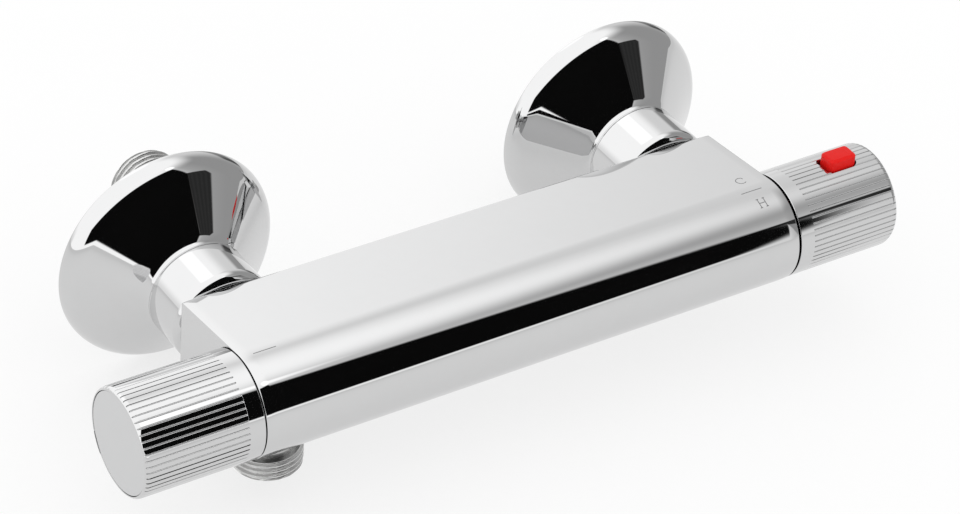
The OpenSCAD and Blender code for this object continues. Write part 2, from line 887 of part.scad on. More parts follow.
// Sensing bulb, the shoulder that carries the shuttle, and the piston that meets the plate
module wax_element() {
    piston_end = plate_start - fit_gap / 2;
    color("peru")
        from_right_end()
            turned([
                [0, shuttle_start - bulb_reach], [bulb_r, shuttle_start - bulb_reach],
                [bulb_r, shuttle_end], [bulb_shoulder_r, shuttle_end],
                [bulb_shoulder_r, shuttle_end + shoulder_t],
                [bulb_r, shuttle_end + shoulder_t], [bulb_r, shuttle_end + 2 * shoulder_t],
                [piston_r, shuttle_end + 2 * shoulder_t], [piston_r, piston_end], [0, piston_end]
            ]);
}

module shuttle() {
    color("dodgerblue")
        from_right_end()
            difference() {
                tube(cage_bore_r - running_gap, bulb_r + fit_gap / 2, shuttle_start, shuttle_end);
                ring_of(window_count, (cage_bore_r + bulb_r) / 2)
                    rod((cage_bore_r - bulb_r) / 4, shuttle_start - overrun, shuttle_end + overrun);
            }
}

module return_spring() {
    from = cage_start + cage_floor_t + fit_gap;
    color("gray")
        from_right_end()
            translate([0, 0, from])
                coil_spring(return_spring_r, shuttle_start - from - fit_gap, return_spring_curls,
                    return_spring_wire);
}

module thermostat_lock_nut() {
    color("goldenrod") from_right_end() lock_nut();
}

// Pieces of one inlet, drawn along z from the bar's axis towards the wall
module inlet_tail() {
    difference() {
        turned([
            [0, tail_thread_start], [pocket_r - fit_gap, tail_thread_start],
            [pocket_r - fit_gap, body_back - fit_gap], [tail_neck_r, body_back + fit_gap],
            [tail_neck_r, flange_seat], [tail_flange_r, flange_seat],
            [tail_flange_r, flange_seat + tail_flange_t], [0, flange_seat + tail_flange_t]
        ]);
        rod(inlet_bore_r, check_start, flange_seat + tail_flange_t + overrun);
        rod(inlet_bore_r - check_seat_t / 2, tail_thread_start - overrun, check_start + overrun);
    }
}

module union_nut() {
    bore = union_r + neck_clearance;
    groove_start = union_start + overrun;
    turned([
        [tail_neck_r + neck_clearance, nut_start], [nut_r - nut_round, nut_start],
        for (i = [1 : edge_steps])
            bend([nut_r - nut_round, nut_start], [nut_r, nut_start],
                [nut_r, nut_start + nut_round], i / edge_steps),
        [nut_r, nut_end - 3 * nut_bead], [nut_r - nut_bead, nut_end - 2 * nut_bead],
        [nut_r, nut_end - nut_bead], [nut_r - nut_bead, nut_end], [bore, nut_end],
        [bore, nut_end - nut_bead],
        for (i = [2 : -1 : 0])
            each [[bore + thread_depth / 2, groove_start + (i + crest_share) * thread_rise],
                  [bore, groove_start + i * thread_rise]],
        [bore, nut_start + nut_lip], [tail_neck_r + neck_clearance, nut_start + nut_lip]
    ]);
}

module inlet_washer() {
    tube(tail_flange_r, inlet_bore_r, flange_seat + tail_flange_t, union_start);
}

// Seat at the wall side, guide with flow holes at the bar side
module check_valve_housing() {
    end = check_start + check_length;
    guide = check_start + check_guide_t;
    difference() {
        rod(check_r, check_start, end);
        rod(check_bore_r, guide, end - check_seat_t);
        rod(check_throat_r, end - check_seat_t - overrun, end + overrun);
        rod(poppet_stem_r + running_gap, check_start - overrun, guide + overrun);
        ring_of(4, guide_hole_place) rod(guide_hole_r, check_start - overrun, guide + overrun);
    }
}

module check_poppet() {
    face = check_start + check_length - check_seat_t - running_gap;
    rod(poppet_r, face - poppet_t, face);
    rod(poppet_stem_r, check_start + running_gap, face - poppet_t);
}

module check_spring() {
    from = check_start + check_guide_t + fit_gap;
    to = check_start + check_length - check_seat_t - poppet_t - 2 * fit_gap;
    translate([0, 0, from])
        coil_spring(check_spring_r, to - from, check_spring_curls, check_spring_wire);
}

// Large thread on the inlet's axis, small thread beside it, and a slanting waist between
module eccentric_union(turn) {
    offset_x = eccentricity * cos(turn);
    offset_y = -eccentricity * sin(turn);
    end = wall_y + wall_thread_length;
    plain_end = wall_y + pass_gap * 2;
    difference() {
        union() {
            turned(concat(
                [[0, union_start], [union_r - lead_chamfer, union_start],
                 [union_r, union_start + lead_chamfer]],
                thread_points(union_r, union_start + lead_chamfer, union_thread_end),
                [[union_r, union_thread_end], [0, union_thread_end]]));
            translate([offset_x, offset_y, 0])
                turned(concat(
                    [[0, slant_end], [slant_small_r, slant_end], [slant_small_r, plain_end]],
                    thread_points(wall_thread_r, plain_end, end - lead_chamfer),
                    [[wall_thread_r, end - lead_chamfer], [wall_thread_r - lead_chamfer, end],
                     [0, end]]));
            hull() {
                rod(slant_big_r, union_thread_end - overrun, union_thread_end, $fn = 32);
                translate([offset_x, offset_y, 0])
                    rod(slant_small_r - fit_gap, slant_end, slant_end + overrun, $fn = 32);
            }
        }
        rod(union_bore_r, union_start - overrun, union_thread_end);
        translate([offset_x, offset_y, 0]) rod(union_bore_r, slant_end, end + overrun);
        hull() {
            rod(union_bore_r - fit_gap, union_thread_end - overrun, union_thread_end, $fn = 32);
            translate([offset_x, offset_y, 0])
                rod(union_bore_r - fit_gap, slant_end, slant_end + overrun, $fn = 32);
        }
    }
}

// Bell that slides on the large thread: a neck, a cone and a rounded lip
module wall_flange() {
    cone_start = [flange_neck_r, flange_neck_end];
    span = wall_y - flange_neck_end;
    cone_end = [flange_neck_r + (flange_r - flange_neck_r) * flange_cone_r_share,
        flange_neck_end + span * flange_cone_share];
    corner = [flange_r, flange_neck_end + span * flange_lip_share];
    rim = [flange_r, wall_y];
    outer = [
        [flange_neck_r, flange_neck_start], cone_start,
        for (i = [0 : flange_steps]) bend(cone_end, corner, rim, i / flange_steps)
    ];
    inset = [flange_wall, 0];
    turned(concat(outer, [for (i = [len(outer) - 1 : -1 : 0]) outer[i] - inset]));
}

module left_inlet_tail() { color("silver") at_inlet(left_x) inlet_tail(); }
module right_inlet_tail() { color("silver") at_inlet(right_x) inlet_tail(); }
module left_union_nut() { color("silver") at_inlet(left_x) union_nut(); }
module right_union_nut() { color("silver") at_inlet(right_x) union_nut(); }
module left_inlet_washer() { color("dimgray") at_inlet(left_x) inlet_washer(); }
module right_inlet_washer() { color("dimgray") at_inlet(right_x) inlet_washer(); }
module left_check_valve_housing() { color("white") at_inlet(left_x) check_valve_housing(); }
module right_check_valve_housing() { color("white") at_inlet(right_x) check_valve_housing(); }
module left_check_poppet() { color("orange") at_inlet(left_x) check_poppet(); }
module right_check_poppet() { color("orange") at_inlet(right_x) check_poppet(); }
module left_check_spring() { color("gray") at_inlet(left_x) check_spring(); }
module right_check_spring() { color("gray") at_inlet(right_x) check_spring(); }
module left_eccentric_union() { color("tan") at_inlet(left_x) eccentric_union(180 - union_turn); }
module right_eccentric_union() { color("tan") at_inlet(right_x) eccentric_union(180 + union_turn); }
module left_wall_flange() { color("silver") at_inlet(left_x) wall_flange(); }
module right_wall_flange() { color("silver") at_inlet(right_x) wall_flange(); }

valve_body();
outlet_nipple();
outlet_seal();
flow_handle();
flow_handle_cap();
flow_handle_screw();
flow_handle_insert();
flow_cartridge_body();
flow_spindle();
flow_spindle_o_ring();
flow_spindle_clip();
moving_ceramic_disc();
fixed_ceramic_disc();
flow_seat_seal();
flow_cartridge_o_ring();
flow_lock_nut();
temperature_handle();
temperature_handle_cap();
temperature_handle_screw();
temperature_handle_insert();
safety_stop_button();
button_spring();
stop_ring();
thermostat_cartridge_body();
thermostat_spindle();
thermostat_spindle_o_ring();
adjusting_cup();
overload_spring();
overload_plate();
wax_element();
shuttle();
return_spring();
thermostat_o_rings();
hot_and_cold_strainers();
thermostat_lock_nut();
left_inlet_tail();
right_inlet_tail();
left_union_nut();
right_union_nut();
left_inlet_washer();
right_inlet_washer();
left_check_valve_housing();
right_check_valve_housing();
left_check_poppet();
right_check_poppet();
left_check_spring();
right_check_spring();
left_eccentric_union();
right_eccentric_union();
left_wall_flange();
right_wall_flange();
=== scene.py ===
import json
from math import acos, atan2, cos, hypot, pi, radians, sin

import bmesh
import bpy
import numpy as np
from mathutils import Matrix, Vector


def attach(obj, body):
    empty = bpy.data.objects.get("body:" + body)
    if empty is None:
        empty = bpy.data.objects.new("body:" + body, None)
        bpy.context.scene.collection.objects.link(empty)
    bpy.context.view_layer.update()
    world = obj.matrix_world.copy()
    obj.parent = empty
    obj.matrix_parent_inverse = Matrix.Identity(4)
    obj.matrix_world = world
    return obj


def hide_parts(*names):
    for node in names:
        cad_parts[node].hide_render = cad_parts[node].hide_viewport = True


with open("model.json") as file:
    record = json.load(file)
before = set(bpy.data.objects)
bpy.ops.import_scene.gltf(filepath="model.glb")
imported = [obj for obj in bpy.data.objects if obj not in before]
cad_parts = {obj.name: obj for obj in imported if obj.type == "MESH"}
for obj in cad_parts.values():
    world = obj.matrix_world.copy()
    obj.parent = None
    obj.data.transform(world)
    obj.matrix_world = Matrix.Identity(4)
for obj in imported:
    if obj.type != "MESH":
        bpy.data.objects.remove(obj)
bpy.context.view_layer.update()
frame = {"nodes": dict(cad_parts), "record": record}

millimetre = 0.001
tiny = 1e-9
pipePitch = 1.814
plainAngle = 32
meshSet = {"merge": 2e-7, "degenerate": 1e-8}
# Ways to turn an outline: its axis, where the turn starts, and where it is a quarter turn later
backwards = ((0, 1, 0), (1, 0, 0), (0, 0, 1))
upwards = ((0, 0, 1), (0, 1, 0), (1, 0, 0))
downwards = ((0, 0, -1), (1, 0, 0), (0, 1, 0))
print("frame loaded:", len(frame["nodes"]), "solids")


# Meshes from arrays

def shade(mesh, sharpAngle):
    mesh.shade_smooth()
    mesh.set_sharp_from_angle(angle=radians(sharpAngle))


def newObject(name, data):
    made = bpy.data.objects.new(name, data)
    bpy.context.scene.collection.objects.link(made)
    return made


def finishMesh(name, vertices, faces, sharpAngle=plainAngle):
    # Millimetres become metres, points that fall together are merged, and faces point out: the
    # volume, a sum of signed tetrahedra from the origin to each face, has to be positive.
    mesh = bpy.data.meshes.new(name)
    mesh.from_pydata((np.asarray(vertices, float) * millimetre).tolist(), [], faces.tolist())
    work = bmesh.new()
    work.from_mesh(mesh)
    bmesh.ops.remove_doubles(work, verts=work.verts, dist=meshSet["merge"])
    bmesh.ops.dissolve_degenerate(work, edges=work.edges, dist=meshSet["degenerate"])
    if work.calc_volume(signed=True) < 0:
        bmesh.ops.reverse_faces(work, faces=work.faces)
    work.to_mesh(mesh)
    work.free()
    shade(mesh, sharpAngle)
    return newObject(name, mesh)


def gridFaces(rows, columns, closeRows=True, closeColumns=True, start=0):
    # Cell (i, j) becomes the four-sided face (i, j), (i + 1, j), (i + 1, j + 1), (i, j + 1)
    index = np.arange(rows * columns).reshape(rows, columns) + start
    if closeRows:
        index = np.vstack([index, index[:1]])
    if closeColumns:
        index = np.hstack([index, index[:, :1]])
    corners = [index[:-1, :-1], index[1:, :-1], index[1:, 1:], index[:-1, 1:]]
    return np.stack(corners, -1).reshape(-1, 4)


def gridPiece(name, grid, sharpAngle=plainAngle):
    return finishMesh(name, grid.reshape(-1, 3), gridFaces(*grid.shape[:2]), sharpAngle)


def manyGrids(name, grids):
    # Several grids in one mesh, each closed at its ends by poles of its own
    starts = np.cumsum([0] + [g.shape[0] * g.shape[1] for g in grids])
    faces = np.vstack([gridFaces(*g.shape[:2], False, True, s) for g, s in zip(grids, starts)])
    return finishMesh(name, np.vstack([g.reshape(-1, 3) for g in grids]), faces)


def stackedPiece(name, rows, centre):
    # Level rows of points from the lowest up, closed at both ends by a pole at the centre
    low, high = (np.tile([*centre, row[0, 2]], (len(row), 1)) for row in (rows[0], rows[-1]))
    return manyGrids(name, [np.stack([low, *rows, high])])


def unit(turn):
    return np.stack([np.cos(turn), np.sin(turn)], -1)


def level(points, height):
    return np.column_stack([points, np.full(len(points), height)])


def fullTurn(steps):
    return np.arange(steps) * 2 * pi / steps


def smooth(value):
    value = np.clip(value, 0, 1)
    return value * value * (3 - 2 * value)


def roundedOutline(corners, radii, steps=6, closed=True, guard=0.05):
    # Each corner of radius r becomes an arc that touches both its sides: its centre lies on the
    # bisector, r / sin(half angle) away. A point just before and after each arc, at most a third of
    # the side away, keeps the sides' shading straight.
    corners = np.asarray(corners, float)
    count = len(corners)
    before = corners[np.arange(count) - 1] - corners
    after = corners[(np.arange(count) + 1) % count] - corners
    lengths = np.linalg.norm(after, axis=1)
    before /= np.linalg.norm(before, axis=1)[:, None]
    after /= np.maximum(lengths, tiny)[:, None]
    half = np.arccos(np.clip((before * after).sum(1), -1, 1)) / 2
    radii = np.asarray(radii, float)
    cut = np.where(radii > 0, radii / np.tan(half), 0)
    spare = np.maximum(lengths - cut - np.roll(cut, -1), 0) / 3
    parts = []
    for i in range(count):
        if radii[i] <= 0 or (not closed and i in (0, count - 1)):
            parts.append(corners[i:i + 1])
            continue
        middle = before[i] + after[i]
        centre = corners[i] + middle / np.linalg.norm(middle) * radii[i] / sin(half[i])
        first = corners[i] + before[i] * cut[i] - centre
        last = corners[i] + after[i] * cut[i] - centre
        sweep = pi - 2 * half[i]
        t = np.linspace(0, 1, steps)[:, None]
        arc = (np.sin((1 - t) * sweep) * first + np.sin(t * sweep) * last) / sin(sweep)
        near = min(guard, spare[i - 1])
        far = min(guard, spare[i])
        parts.append(np.vstack([corners[i] + before[i] * (cut[i] + near), centre + arc,
                                corners[i] + after[i] * (cut[i] + far)]))
    return np.vstack(parts)


def roundAxis(along, radius, angles, origin, axis, side, up):
    # point = origin + along * axis + radius * (cos(angle) * side + sin(angle) * up)
    along, radius = np.asarray(along, float), np.asarray(radius, float)
    if radius.ndim == 1:
        radius = np.repeat(radius[:, None], len(angles), 1)
    axis, side, up = (np.array(v, float) for v in (axis, side, up))
    ring = np.cos(angles)[:, None] * side + np.sin(angles)[:, None] * up
    return np.array(origin, float) + along[:, None, None] * axis + radius[..., None] * ring


def turnedPiece(name, outline, steps, origin, way, sharpAngle=plainAngle, start=0.0):
    # (along, radius) points turned about an axis. An outline that starts on the axis is closed by
    # its poles, any other one by its first point.
    grid = roundAxis(*np.transpose(outline), fullTurn(steps) + start, origin, *way)
    if outline[0][1] == 0:
        return manyGrids(name, [grid])
    return gridPiece(name, grid, sharpAngle)


def drum(radius, length):
    return [(0, 0), (0, radius), (length, radius), (length, 0)]


threadSet = {"rise": 0.62, "root": 0.32, "endSlope": 1.1}


def threadRadius(crest, depth, place, angle, start, end, t=threadSet):
    # A right-handed thread: the distance along the axis less the turn's share of a pitch gives the
    # phase. Crest and root are flat, the flanks lean between them, and a cone cuts each end.
    phase = (place / pipePitch - angle / (2 * pi)) % 1
    ridge = np.clip((0.5 - np.abs(phase - 0.5)) * 2 / t["rise"] - t["root"], 0, 1)
    ends = np.minimum(place - start, end - place)
    return np.minimum(crest - depth * (1 - smooth(ridge)),
                      crest - depth + np.maximum(ends, 0) * t["endSlope"])


def cutAway(piece, cutter):
    # A boolean takes the cutter out of the piece, and its result becomes the piece's mesh
    change = piece.modifiers.new("cut", "BOOLEAN")
    change.operation = "DIFFERENCE"
    change.solver = "EXACT"
    change.object = cutter
    bpy.context.view_layer.update()
    depsgraph = bpy.context.evaluated_depsgraph_get()
    result = bpy.data.meshes.new_from_object(piece.evaluated_get(depsgraph))
    old = piece.data
    piece.modifiers.clear()
    piece.data = result
    result.name = old.name
    bpy.data.meshes.remove(old)
    bpy.data.objects.remove(cutter)
    shade(result, plainAngle)
    return piece


# The bar

barSet = {
    "left": -89.7, "right": 89.0, "radius": 16.2, "back": 33.2, "backHalf": 12.6, "backRound": 1.2,
    "frontSteps": 181, "cornerSteps": 9, "flatShares": (0.004, 0.05, 0.95, 0.996), "flatSteps": 12,
    "rows": 14, "endRound": 0.25, "endSteps": 8, "endPlaces": (0.05, 0.2, 0.5), "guard": 0.05,
    "softRound": 0.16, "softStart": 1.3, "softLength": 3.4, "softSteps": 9,
    "boreRadius": 12.0, "leftFloor": -62.0, "rightFloor": 30.0, "ductRadius": 7.0,
    "boreEdge": 0.4, "edgeOutside": 0.45, "edgeInside": 0.5,
    "spotPlace": -80.4, "spotRadius": 11.98, "spotDepth": 15.4, "spotCut": 3,
    "socketRadius": 8.5, "socketTop": 12.5, "pocketRadius": 10.4, "pocketFloor": 14.5,
    "inletPlaces": (-75.0, 75.0), "overCut": 1, "cutSteps": 128,
}


def barOutline(b):
    # The outline by its parts, each with its own outward direction: the round front, a flat that
    # touches it, a small round and the back. The upper half mirrors the lower.
    small, mirror = b["backRound"], [1, -1]
    near, high = b["back"] - small, b["backHalf"] - small
    lean = atan2(high, near) + acos((b["radius"] - small) / hypot(near, high))
    front = unit(np.linspace(lean, 2 * pi - lean, b["frontSteps"]))
    corner = unit(np.linspace(-lean, 0, b["cornerSteps"]))
    first, low, up, last = b["flatShares"]
    share = np.concatenate([[first], np.linspace(low, up, b["flatSteps"]), [last]])[:, None]
    start, end = front[-1] * b["radius"], np.array([near, -high]) + corner[0] * small
    flat = start + (end - start) * share
    back = np.array([[b["back"], -high]]) + share * np.array([[0, 2 * high]])
    points = np.vstack([front * b["radius"], flat, np.array([near, -high]) + corner * small, back,
                        np.array([near, high]) + corner[::-1] * mirror * small,
                        (flat * mirror)[::-1]])
    facing = np.vstack([front, np.repeat(corner[:1], len(flat), 0), corner,
                        np.tile([1.0, 0.0], (len(back), 1)), corner[::-1] * mirror,
                        np.repeat(corner[:1] * mirror, len(flat), 0)])
    return points, facing, lean


def barEnd(b):
    # Distance in from an end, and how far the outline is drawn in there: a small quarter round, and
    # a slow curve that falls off over a few millimetres as polishing leaves it.
    r = b["endRound"]
    place = np.concatenate([r * (1 - np.cos(np.linspace(0, pi / 2, b["endSteps"]))),
                            r + np.array(b["endPlaces"]),
                            np.linspace(b["softStart"], b["softLength"], b["softSteps"])])
    inset = b["softRound"] * (1 - np.minimum(place / b["softLength"], 1)) ** 2
    inset += r - np.sqrt(np.maximum(r * r - np.maximum(r - place, 0) ** 2, 0))
    return place, inset


def makeBar(b):
    # Outside, point = outline - facing * inset at each place along the bar. Over each end face and
    # down each bore the rows are circles: point = ray * radius. Drums then cut the outlet's flat
    # spot and socket and the two inlet pockets.
    points, facing = barOutline(b)[:2]
    ray = unit(np.arctan2(points[:, 1], points[:, 0]))
    place, inset = barEnd(b)
    bore, edge, soft = b["boreRadius"], b["boreEdge"], b["softLength"]

    def row(x, outline):
        return np.column_stack([np.full(len(outline), x), outline])

    def boreRows(end, floor, inward):
        rows = [(0, points - facing * (inset[0] + b["guard"])),
                (0, ray * (bore + b["edgeOutside"])), (0, ray * (bore + edge)), (edge, ray * bore),
                (b["edgeInside"], ray * bore)]
        return [row(end + inward * depth, outline) for depth, outline in rows] + [
            row(floor, ray * bore), row(floor, ray * b["ductRadius"])]

    drawn = [(p, points - facing * i) for p, i in zip(place, inset)]
    middle = np.linspace(b["left"] + soft, b["right"] - soft, b["rows"])[1:-1]
    rows = [row(b["left"] + p, outline) for p, outline in drawn] + [row(x, points) for x in middle]
    rows += [row(b["right"] - p, outline) for p, outline in drawn[::-1]]
    rows += boreRows(b["right"], b["rightFloor"], -1)
    rows += boreRows(b["left"], b["leftFloor"], 1)[::-1]
    bar = gridPiece("barShell", np.stack(rows))
    socket = b["spotDepth"] - b["socketTop"] + b["overCut"]
    pocket = b["back"] - b["pocketFloor"] + b["overCut"]
    cuts = [(b["spotRadius"], b["spotCut"], (b["spotPlace"], 0, -b["spotDepth"]), downwards),
            (b["socketRadius"], socket, (b["spotPlace"], 0, -b["socketTop"]), downwards)]
    cuts += [(b["pocketRadius"], pocket, (x, b["pocketFloor"], 0), backwards)
             for x in b["inletPlaces"]]
    for radius, length, origin, way in cuts:
        cutter = turnedPiece("cutter", drum(radius, length), b["cutSteps"], origin, way)
        bar = cutAway(bar, cutter)
    return bar


# The handles and their discs

handleSet = {
    "radius": 16.0, "landRadius": 15.97, "collar": 4.8, "faceRound": 0.15, "faceSteps": 6,
    "guard": 0.05, "collarGuard": 0.1, "endLength": 1.5, "endSteps": 12, "rimRadius": 15.05,
    "rimDrop": 0.06, "innerRadius": 13.6, "recess": 1.55, "recessGap": 0.02,
    "skirtRadius": 13.95, "skirtBevel": 0.25, "webTop": 4.3, "webThickness": 1.8, "hole": 2.1,
    "insertRadius": 5.06, "bossRadius": 6.8, "bossLength": 14.6, "grooves": 54,
    "grooveDepth": 0.30, "grooveHalfWidth": 0.125, "groovePower": 1.15, "grooveSag": 0.25,
    "grooveShares": (0.035, 0.075, 0.11, 0.13, 0.15, 0.2, 0.35), "runOut": 0.55,
    "fadeEnd": 0.12, "fadeLength": 0.5, "landPlaces": (0.03, 0.1, 0.2, 0.33, 0.48, 0.62),
    "landRows": (2, 1, 6), "landGuard": 0.1,
}
flowSet = {"start": -90.1, "length": 36.7, "direction": -1}
temperatureSet = {"start": 89.8, "length": 35.4, "direction": 1}


def handleWay(side):
    return (side["direction"], 0, 0), (0, 0, 1), (0, 1, 0)


def grooveShape(h, share):
    # Depth of a groove across its pitch, from 1 at its middle to 0 at its edges: a rounded V
    reach = np.clip(1 - np.abs(share) / h["grooveHalfWidth"], 0, 1)
    return reach ** h["groovePower"] * (1 - h["grooveSag"] * (1 - reach))


def makeHandle(name, h, side):
    # radius = plain radius at that place - groove depth there * groove shape at that angle
    length, collar, end = side["length"], h["collar"], side["length"] - h["endLength"]
    half = np.array(h["grooveShares"])
    shares = np.concatenate([[-0.5], -half[::-1], [0], half])
    angles = ((np.arange(h["grooves"])[:, None] + shares) * 2 * pi / h["grooves"]).ravel()
    shape = np.tile(grooveShape(h, shares), h["grooves"])
    # Outside: smooth collar, lands and grooves, then a quarter of an ellipse that runs into the rim
    r, plain = h["faceRound"], h["radius"]
    face = r * (1 - np.cos(np.linspace(0, pi / 2, h["faceSteps"])))
    faceRadius = plain - r + np.sqrt(np.maximum(r ** 2 - (r - face) ** 2, 0))
    first, last, count = h["landRows"]
    lands = np.concatenate([collar + np.array(h["landPlaces"]),
                            np.linspace(collar + first, end - last, count), [end - h["landGuard"]]])
    quarter = np.linspace(0, pi / 2, h["endSteps"])
    roundPlace = end + h["endLength"] * np.sin(quarter)
    roundRadius = h["rimRadius"] + (h["landRadius"] - h["rimRadius"]) * np.cos(quarter)
    collarPlaces = [r + h["guard"], collar - h["collarGuard"], collar]
    place = np.concatenate([face, collarPlaces, lands, roundPlace])
    radius = np.concatenate([faceRadius, np.full(len(collarPlaces), plain),
                             np.full(len(lands), h["landRadius"]), roundRadius])[:, None]
    run = np.clip((place - collar) / h["runOut"], 0, 1)
    fade = np.clip((length - h["fadeEnd"] - place) / h["fadeLength"], 0, 1)
    depth = h["grooveDepth"] * np.sqrt(np.maximum(1 - (1 - run) ** 2, 0)) * fade * (place > collar)
    radius = np.where((place > collar)[:, None], radius - depth[:, None] * shape, radius)
    # Inside: recess for the end disc, web with its hole, boss, wall
    top, recess, rim = length - h["webTop"], length - h["recess"], h["rimRadius"] - h["recessGap"]
    web = top - h["webThickness"]
    boss, wall, bevel = web - h["bossLength"], h["innerRadius"], h["skirtBevel"]
    inner = np.array([
        (length - h["rimDrop"], rim), (recess, rim), (recess, h["skirtRadius"]),
        (top, h["skirtRadius"]), (top, h["hole"]), (web, h["hole"]), (web, h["insertRadius"]),
        (boss, h["insertRadius"]), (boss, h["bossRadius"]), (web, h["bossRadius"]), (web, wall),
        (bevel, wall), (0, wall + bevel), (0, plain - r - h["guard"])])
    place = np.concatenate([place, inner[:, 0]])
    radius = np.vstack([radius, np.repeat(inner[:, 1:], len(angles), 1)])
    origin = (side["start"], 0, 0)
    return gridPiece(name, roundAxis(place, radius, angles, origin, *handleWay(side)))


capSet = {"radius": 14.9, "thickness": 1.4, "sunk": 0.15, "edge": 0.22, "crown": 0.02,
          "skirtRadius": 13.8, "skirtWall": 1.1, "skirtDepth": 1.0, "steps": 144}


def makeCap(name, c, side):
    # Disc with a soft edge, and a short ring behind it. The face falls a little towards its rim.
    top = side["length"] - c["sunk"]
    back = top - c["thickness"]
    end, skirt = back - c["skirtDepth"], c["skirtRadius"]
    wall = skirt - c["skirtWall"]
    outline = roundedOutline(
        [(top + c["crown"], 0), (top, c["radius"]), (back, c["radius"]), (back, skirt),
         (end, skirt), (end, wall), (back, wall), (back, 0)],
        [0, c["edge"], 0, 0, 0, 0, 0, 0], closed=False)
    return turnedPiece(name, outline, c["steps"], (side["start"], 0, 0), handleWay(side))


# The safety button, and what the handle has for it

buttonSet = {
    "middle": 112.5, "length": 9.8, "width": 6.4, "corner": 1.7, "top": 18.9, "lean": 0.12,
    "chamfer": 0.75, "chamferDrop": 0.7, "topDrop": 0.03, "topStart": 1.5,
    "sideRounds": (0.2, 0.2, 0, 0.28, 0.28, 0),
    "crown": 0.02, "core": (0.42, 0.3), "plateTop": 12.55, "plateBottom": 11.35,
    "plateMargin": 1.1, "armStart": 94.0, "armOverlap": 0.4, "armWidth": 4.0,
    "armCorner": 0.5, "armSteps": 5, "armRound": 0.12, "pinRadius": 1.1, "pinEnd": 8.35,
    "pinRound": 0.3, "pinSteps": 32, "slot": (112.0, 11.5, 7.3, 2.05), "slotFloor": 12.6,
    "overCut": 2, "holeRadius": 1.3, "holeFloor": 6.0, "holeLength": 3, "holeSteps": 30,
    "holeTurn": 0.037, "holeShift": (0.013, 0.007), "seatRadius": 3.4, "seatGap": 0.02,
    "seatStart": 5.7, "seatTop": 7.3, "seatRounds": (0, 0, 0.15, 0.1), "seatSteps": 64,
}


def rectangleOutline(length, width, corner, steps=10):
    # Points of a rounded rectangle and the way that each faces: away from its corner arc's centre
    half = [length / 2 - corner, width / 2 - corner]
    centres = np.array([(1, 1), (-1, 1), (-1, -1), (1, -1)]) * half
    turn = np.linspace(0, pi / 2, steps)
    facing = np.vstack([unit(turn + k * pi / 2) for k in range(4)])
    return np.repeat(centres, steps, 0) + facing * corner, facing


def makeButton(b):
    # point = outline - facing * inset at each (inset, height) of the side: plate, leaning sides,
    # chamfer and crowned top. The arm is a flat bar with small rounds, the pin a drum.
    middle, low, high = [b["middle"], 0], b["plateBottom"], b["plateTop"]
    points, facing = rectangleOutline(b["length"], b["width"], b["corner"])
    side = roundedOutline(
        [(-b["plateMargin"], low), (-b["plateMargin"], high), (0, high),
         (b["lean"], b["top"] - b["chamferDrop"]),
         (b["lean"] + b["chamfer"], b["top"] - b["topDrop"]), (b["topStart"], b["top"])],
        b["sideRounds"], closed=False)
    rows = [level(points - facing * inset + middle, height) for inset, height in side]
    rows.append(level(points * b["core"] + middle, b["top"] + b["crown"]))
    button = stackedPiece("safetyButton", rows, middle)
    length = b["middle"] - b["length"] / 2 - b["plateMargin"] + b["armOverlap"] - b["armStart"]
    points, facing = rectangleOutline(length, b["armWidth"], b["armCorner"], b["armSteps"])
    points = points + [b["armStart"] + length / 2, 0]
    r = b["armRound"]
    side = (r, low), (0, low + r), (0, high - r), (r, high)
    rows = [level(points - facing * inset, height) for inset, height in side]
    arm = stackedPiece("buttonArm", rows, points.mean(0))
    outline = roundedOutline(drum(b["pinRadius"], low - b["pinEnd"]), [0, 0, b["pinRound"], 0],
                             closed=False)
    pin = turnedPiece("buttonPin", outline, b["pinSteps"], (*middle, low), downwards)
    return button, arm, pin


def slotCutter(b):
    # A rounded rectangle from the slot's floor to above the handle
    place, *size = b["slot"]
    points = rectangleOutline(*size)[0] + [place, 0]
    rows = [level(points, height) for height in (b["slotFloor"], b["top"] + b["overCut"])]
    return stackedPiece("slotCutter", rows, (place, 0))


def holeCutter(b):
    # A drum for the blind hole that takes the pin when the button is pressed, turned and shifted a
    # little, so that no point of it lies on a line of the handle's grid
    shiftX, shiftY = b["holeShift"]
    return turnedPiece("holeCutter", drum(b["holeRadius"], b["holeLength"]), b["holeSteps"],
                       (b["middle"] + shiftX, shiftY, b["holeFloor"]), upwards, start=b["holeTurn"])


def makeSeat(b):
    # A flat ring on the boss, under the button's spring: a rounded rectangle turned about the pin
    inside, outside = b["holeRadius"] + b["seatGap"], b["seatRadius"]
    outline = roundedOutline([(b["seatStart"], inside), (b["seatStart"], outside),
                              (b["seatTop"], outside), (b["seatTop"], inside)], b["seatRounds"])
    return turnedPiece("buttonSeat", outline, b["seatSteps"], (b["middle"], 0, 0), upwards)


# Union nuts, wall flanges, unions and outlet

nutSet = {
    "radius": 15.7, "start": 33.5, "end": 50.3, "neck": 10.58, "front": 2.6, "lip": 37.9,
    "bore": 13.3, "bead": 0.4, "line": ((2.4, 0), (2, 0.16), (1.7, 0)),
    "lineRounds": (0.05, 0.04, 0.05), "threads": 4, "threadStart": 43.0, "threadDepth": 0.45,
    "ridge": (0, 0.3, 0.55, 0.85), "arcSteps": 10, "steps": 160,
}


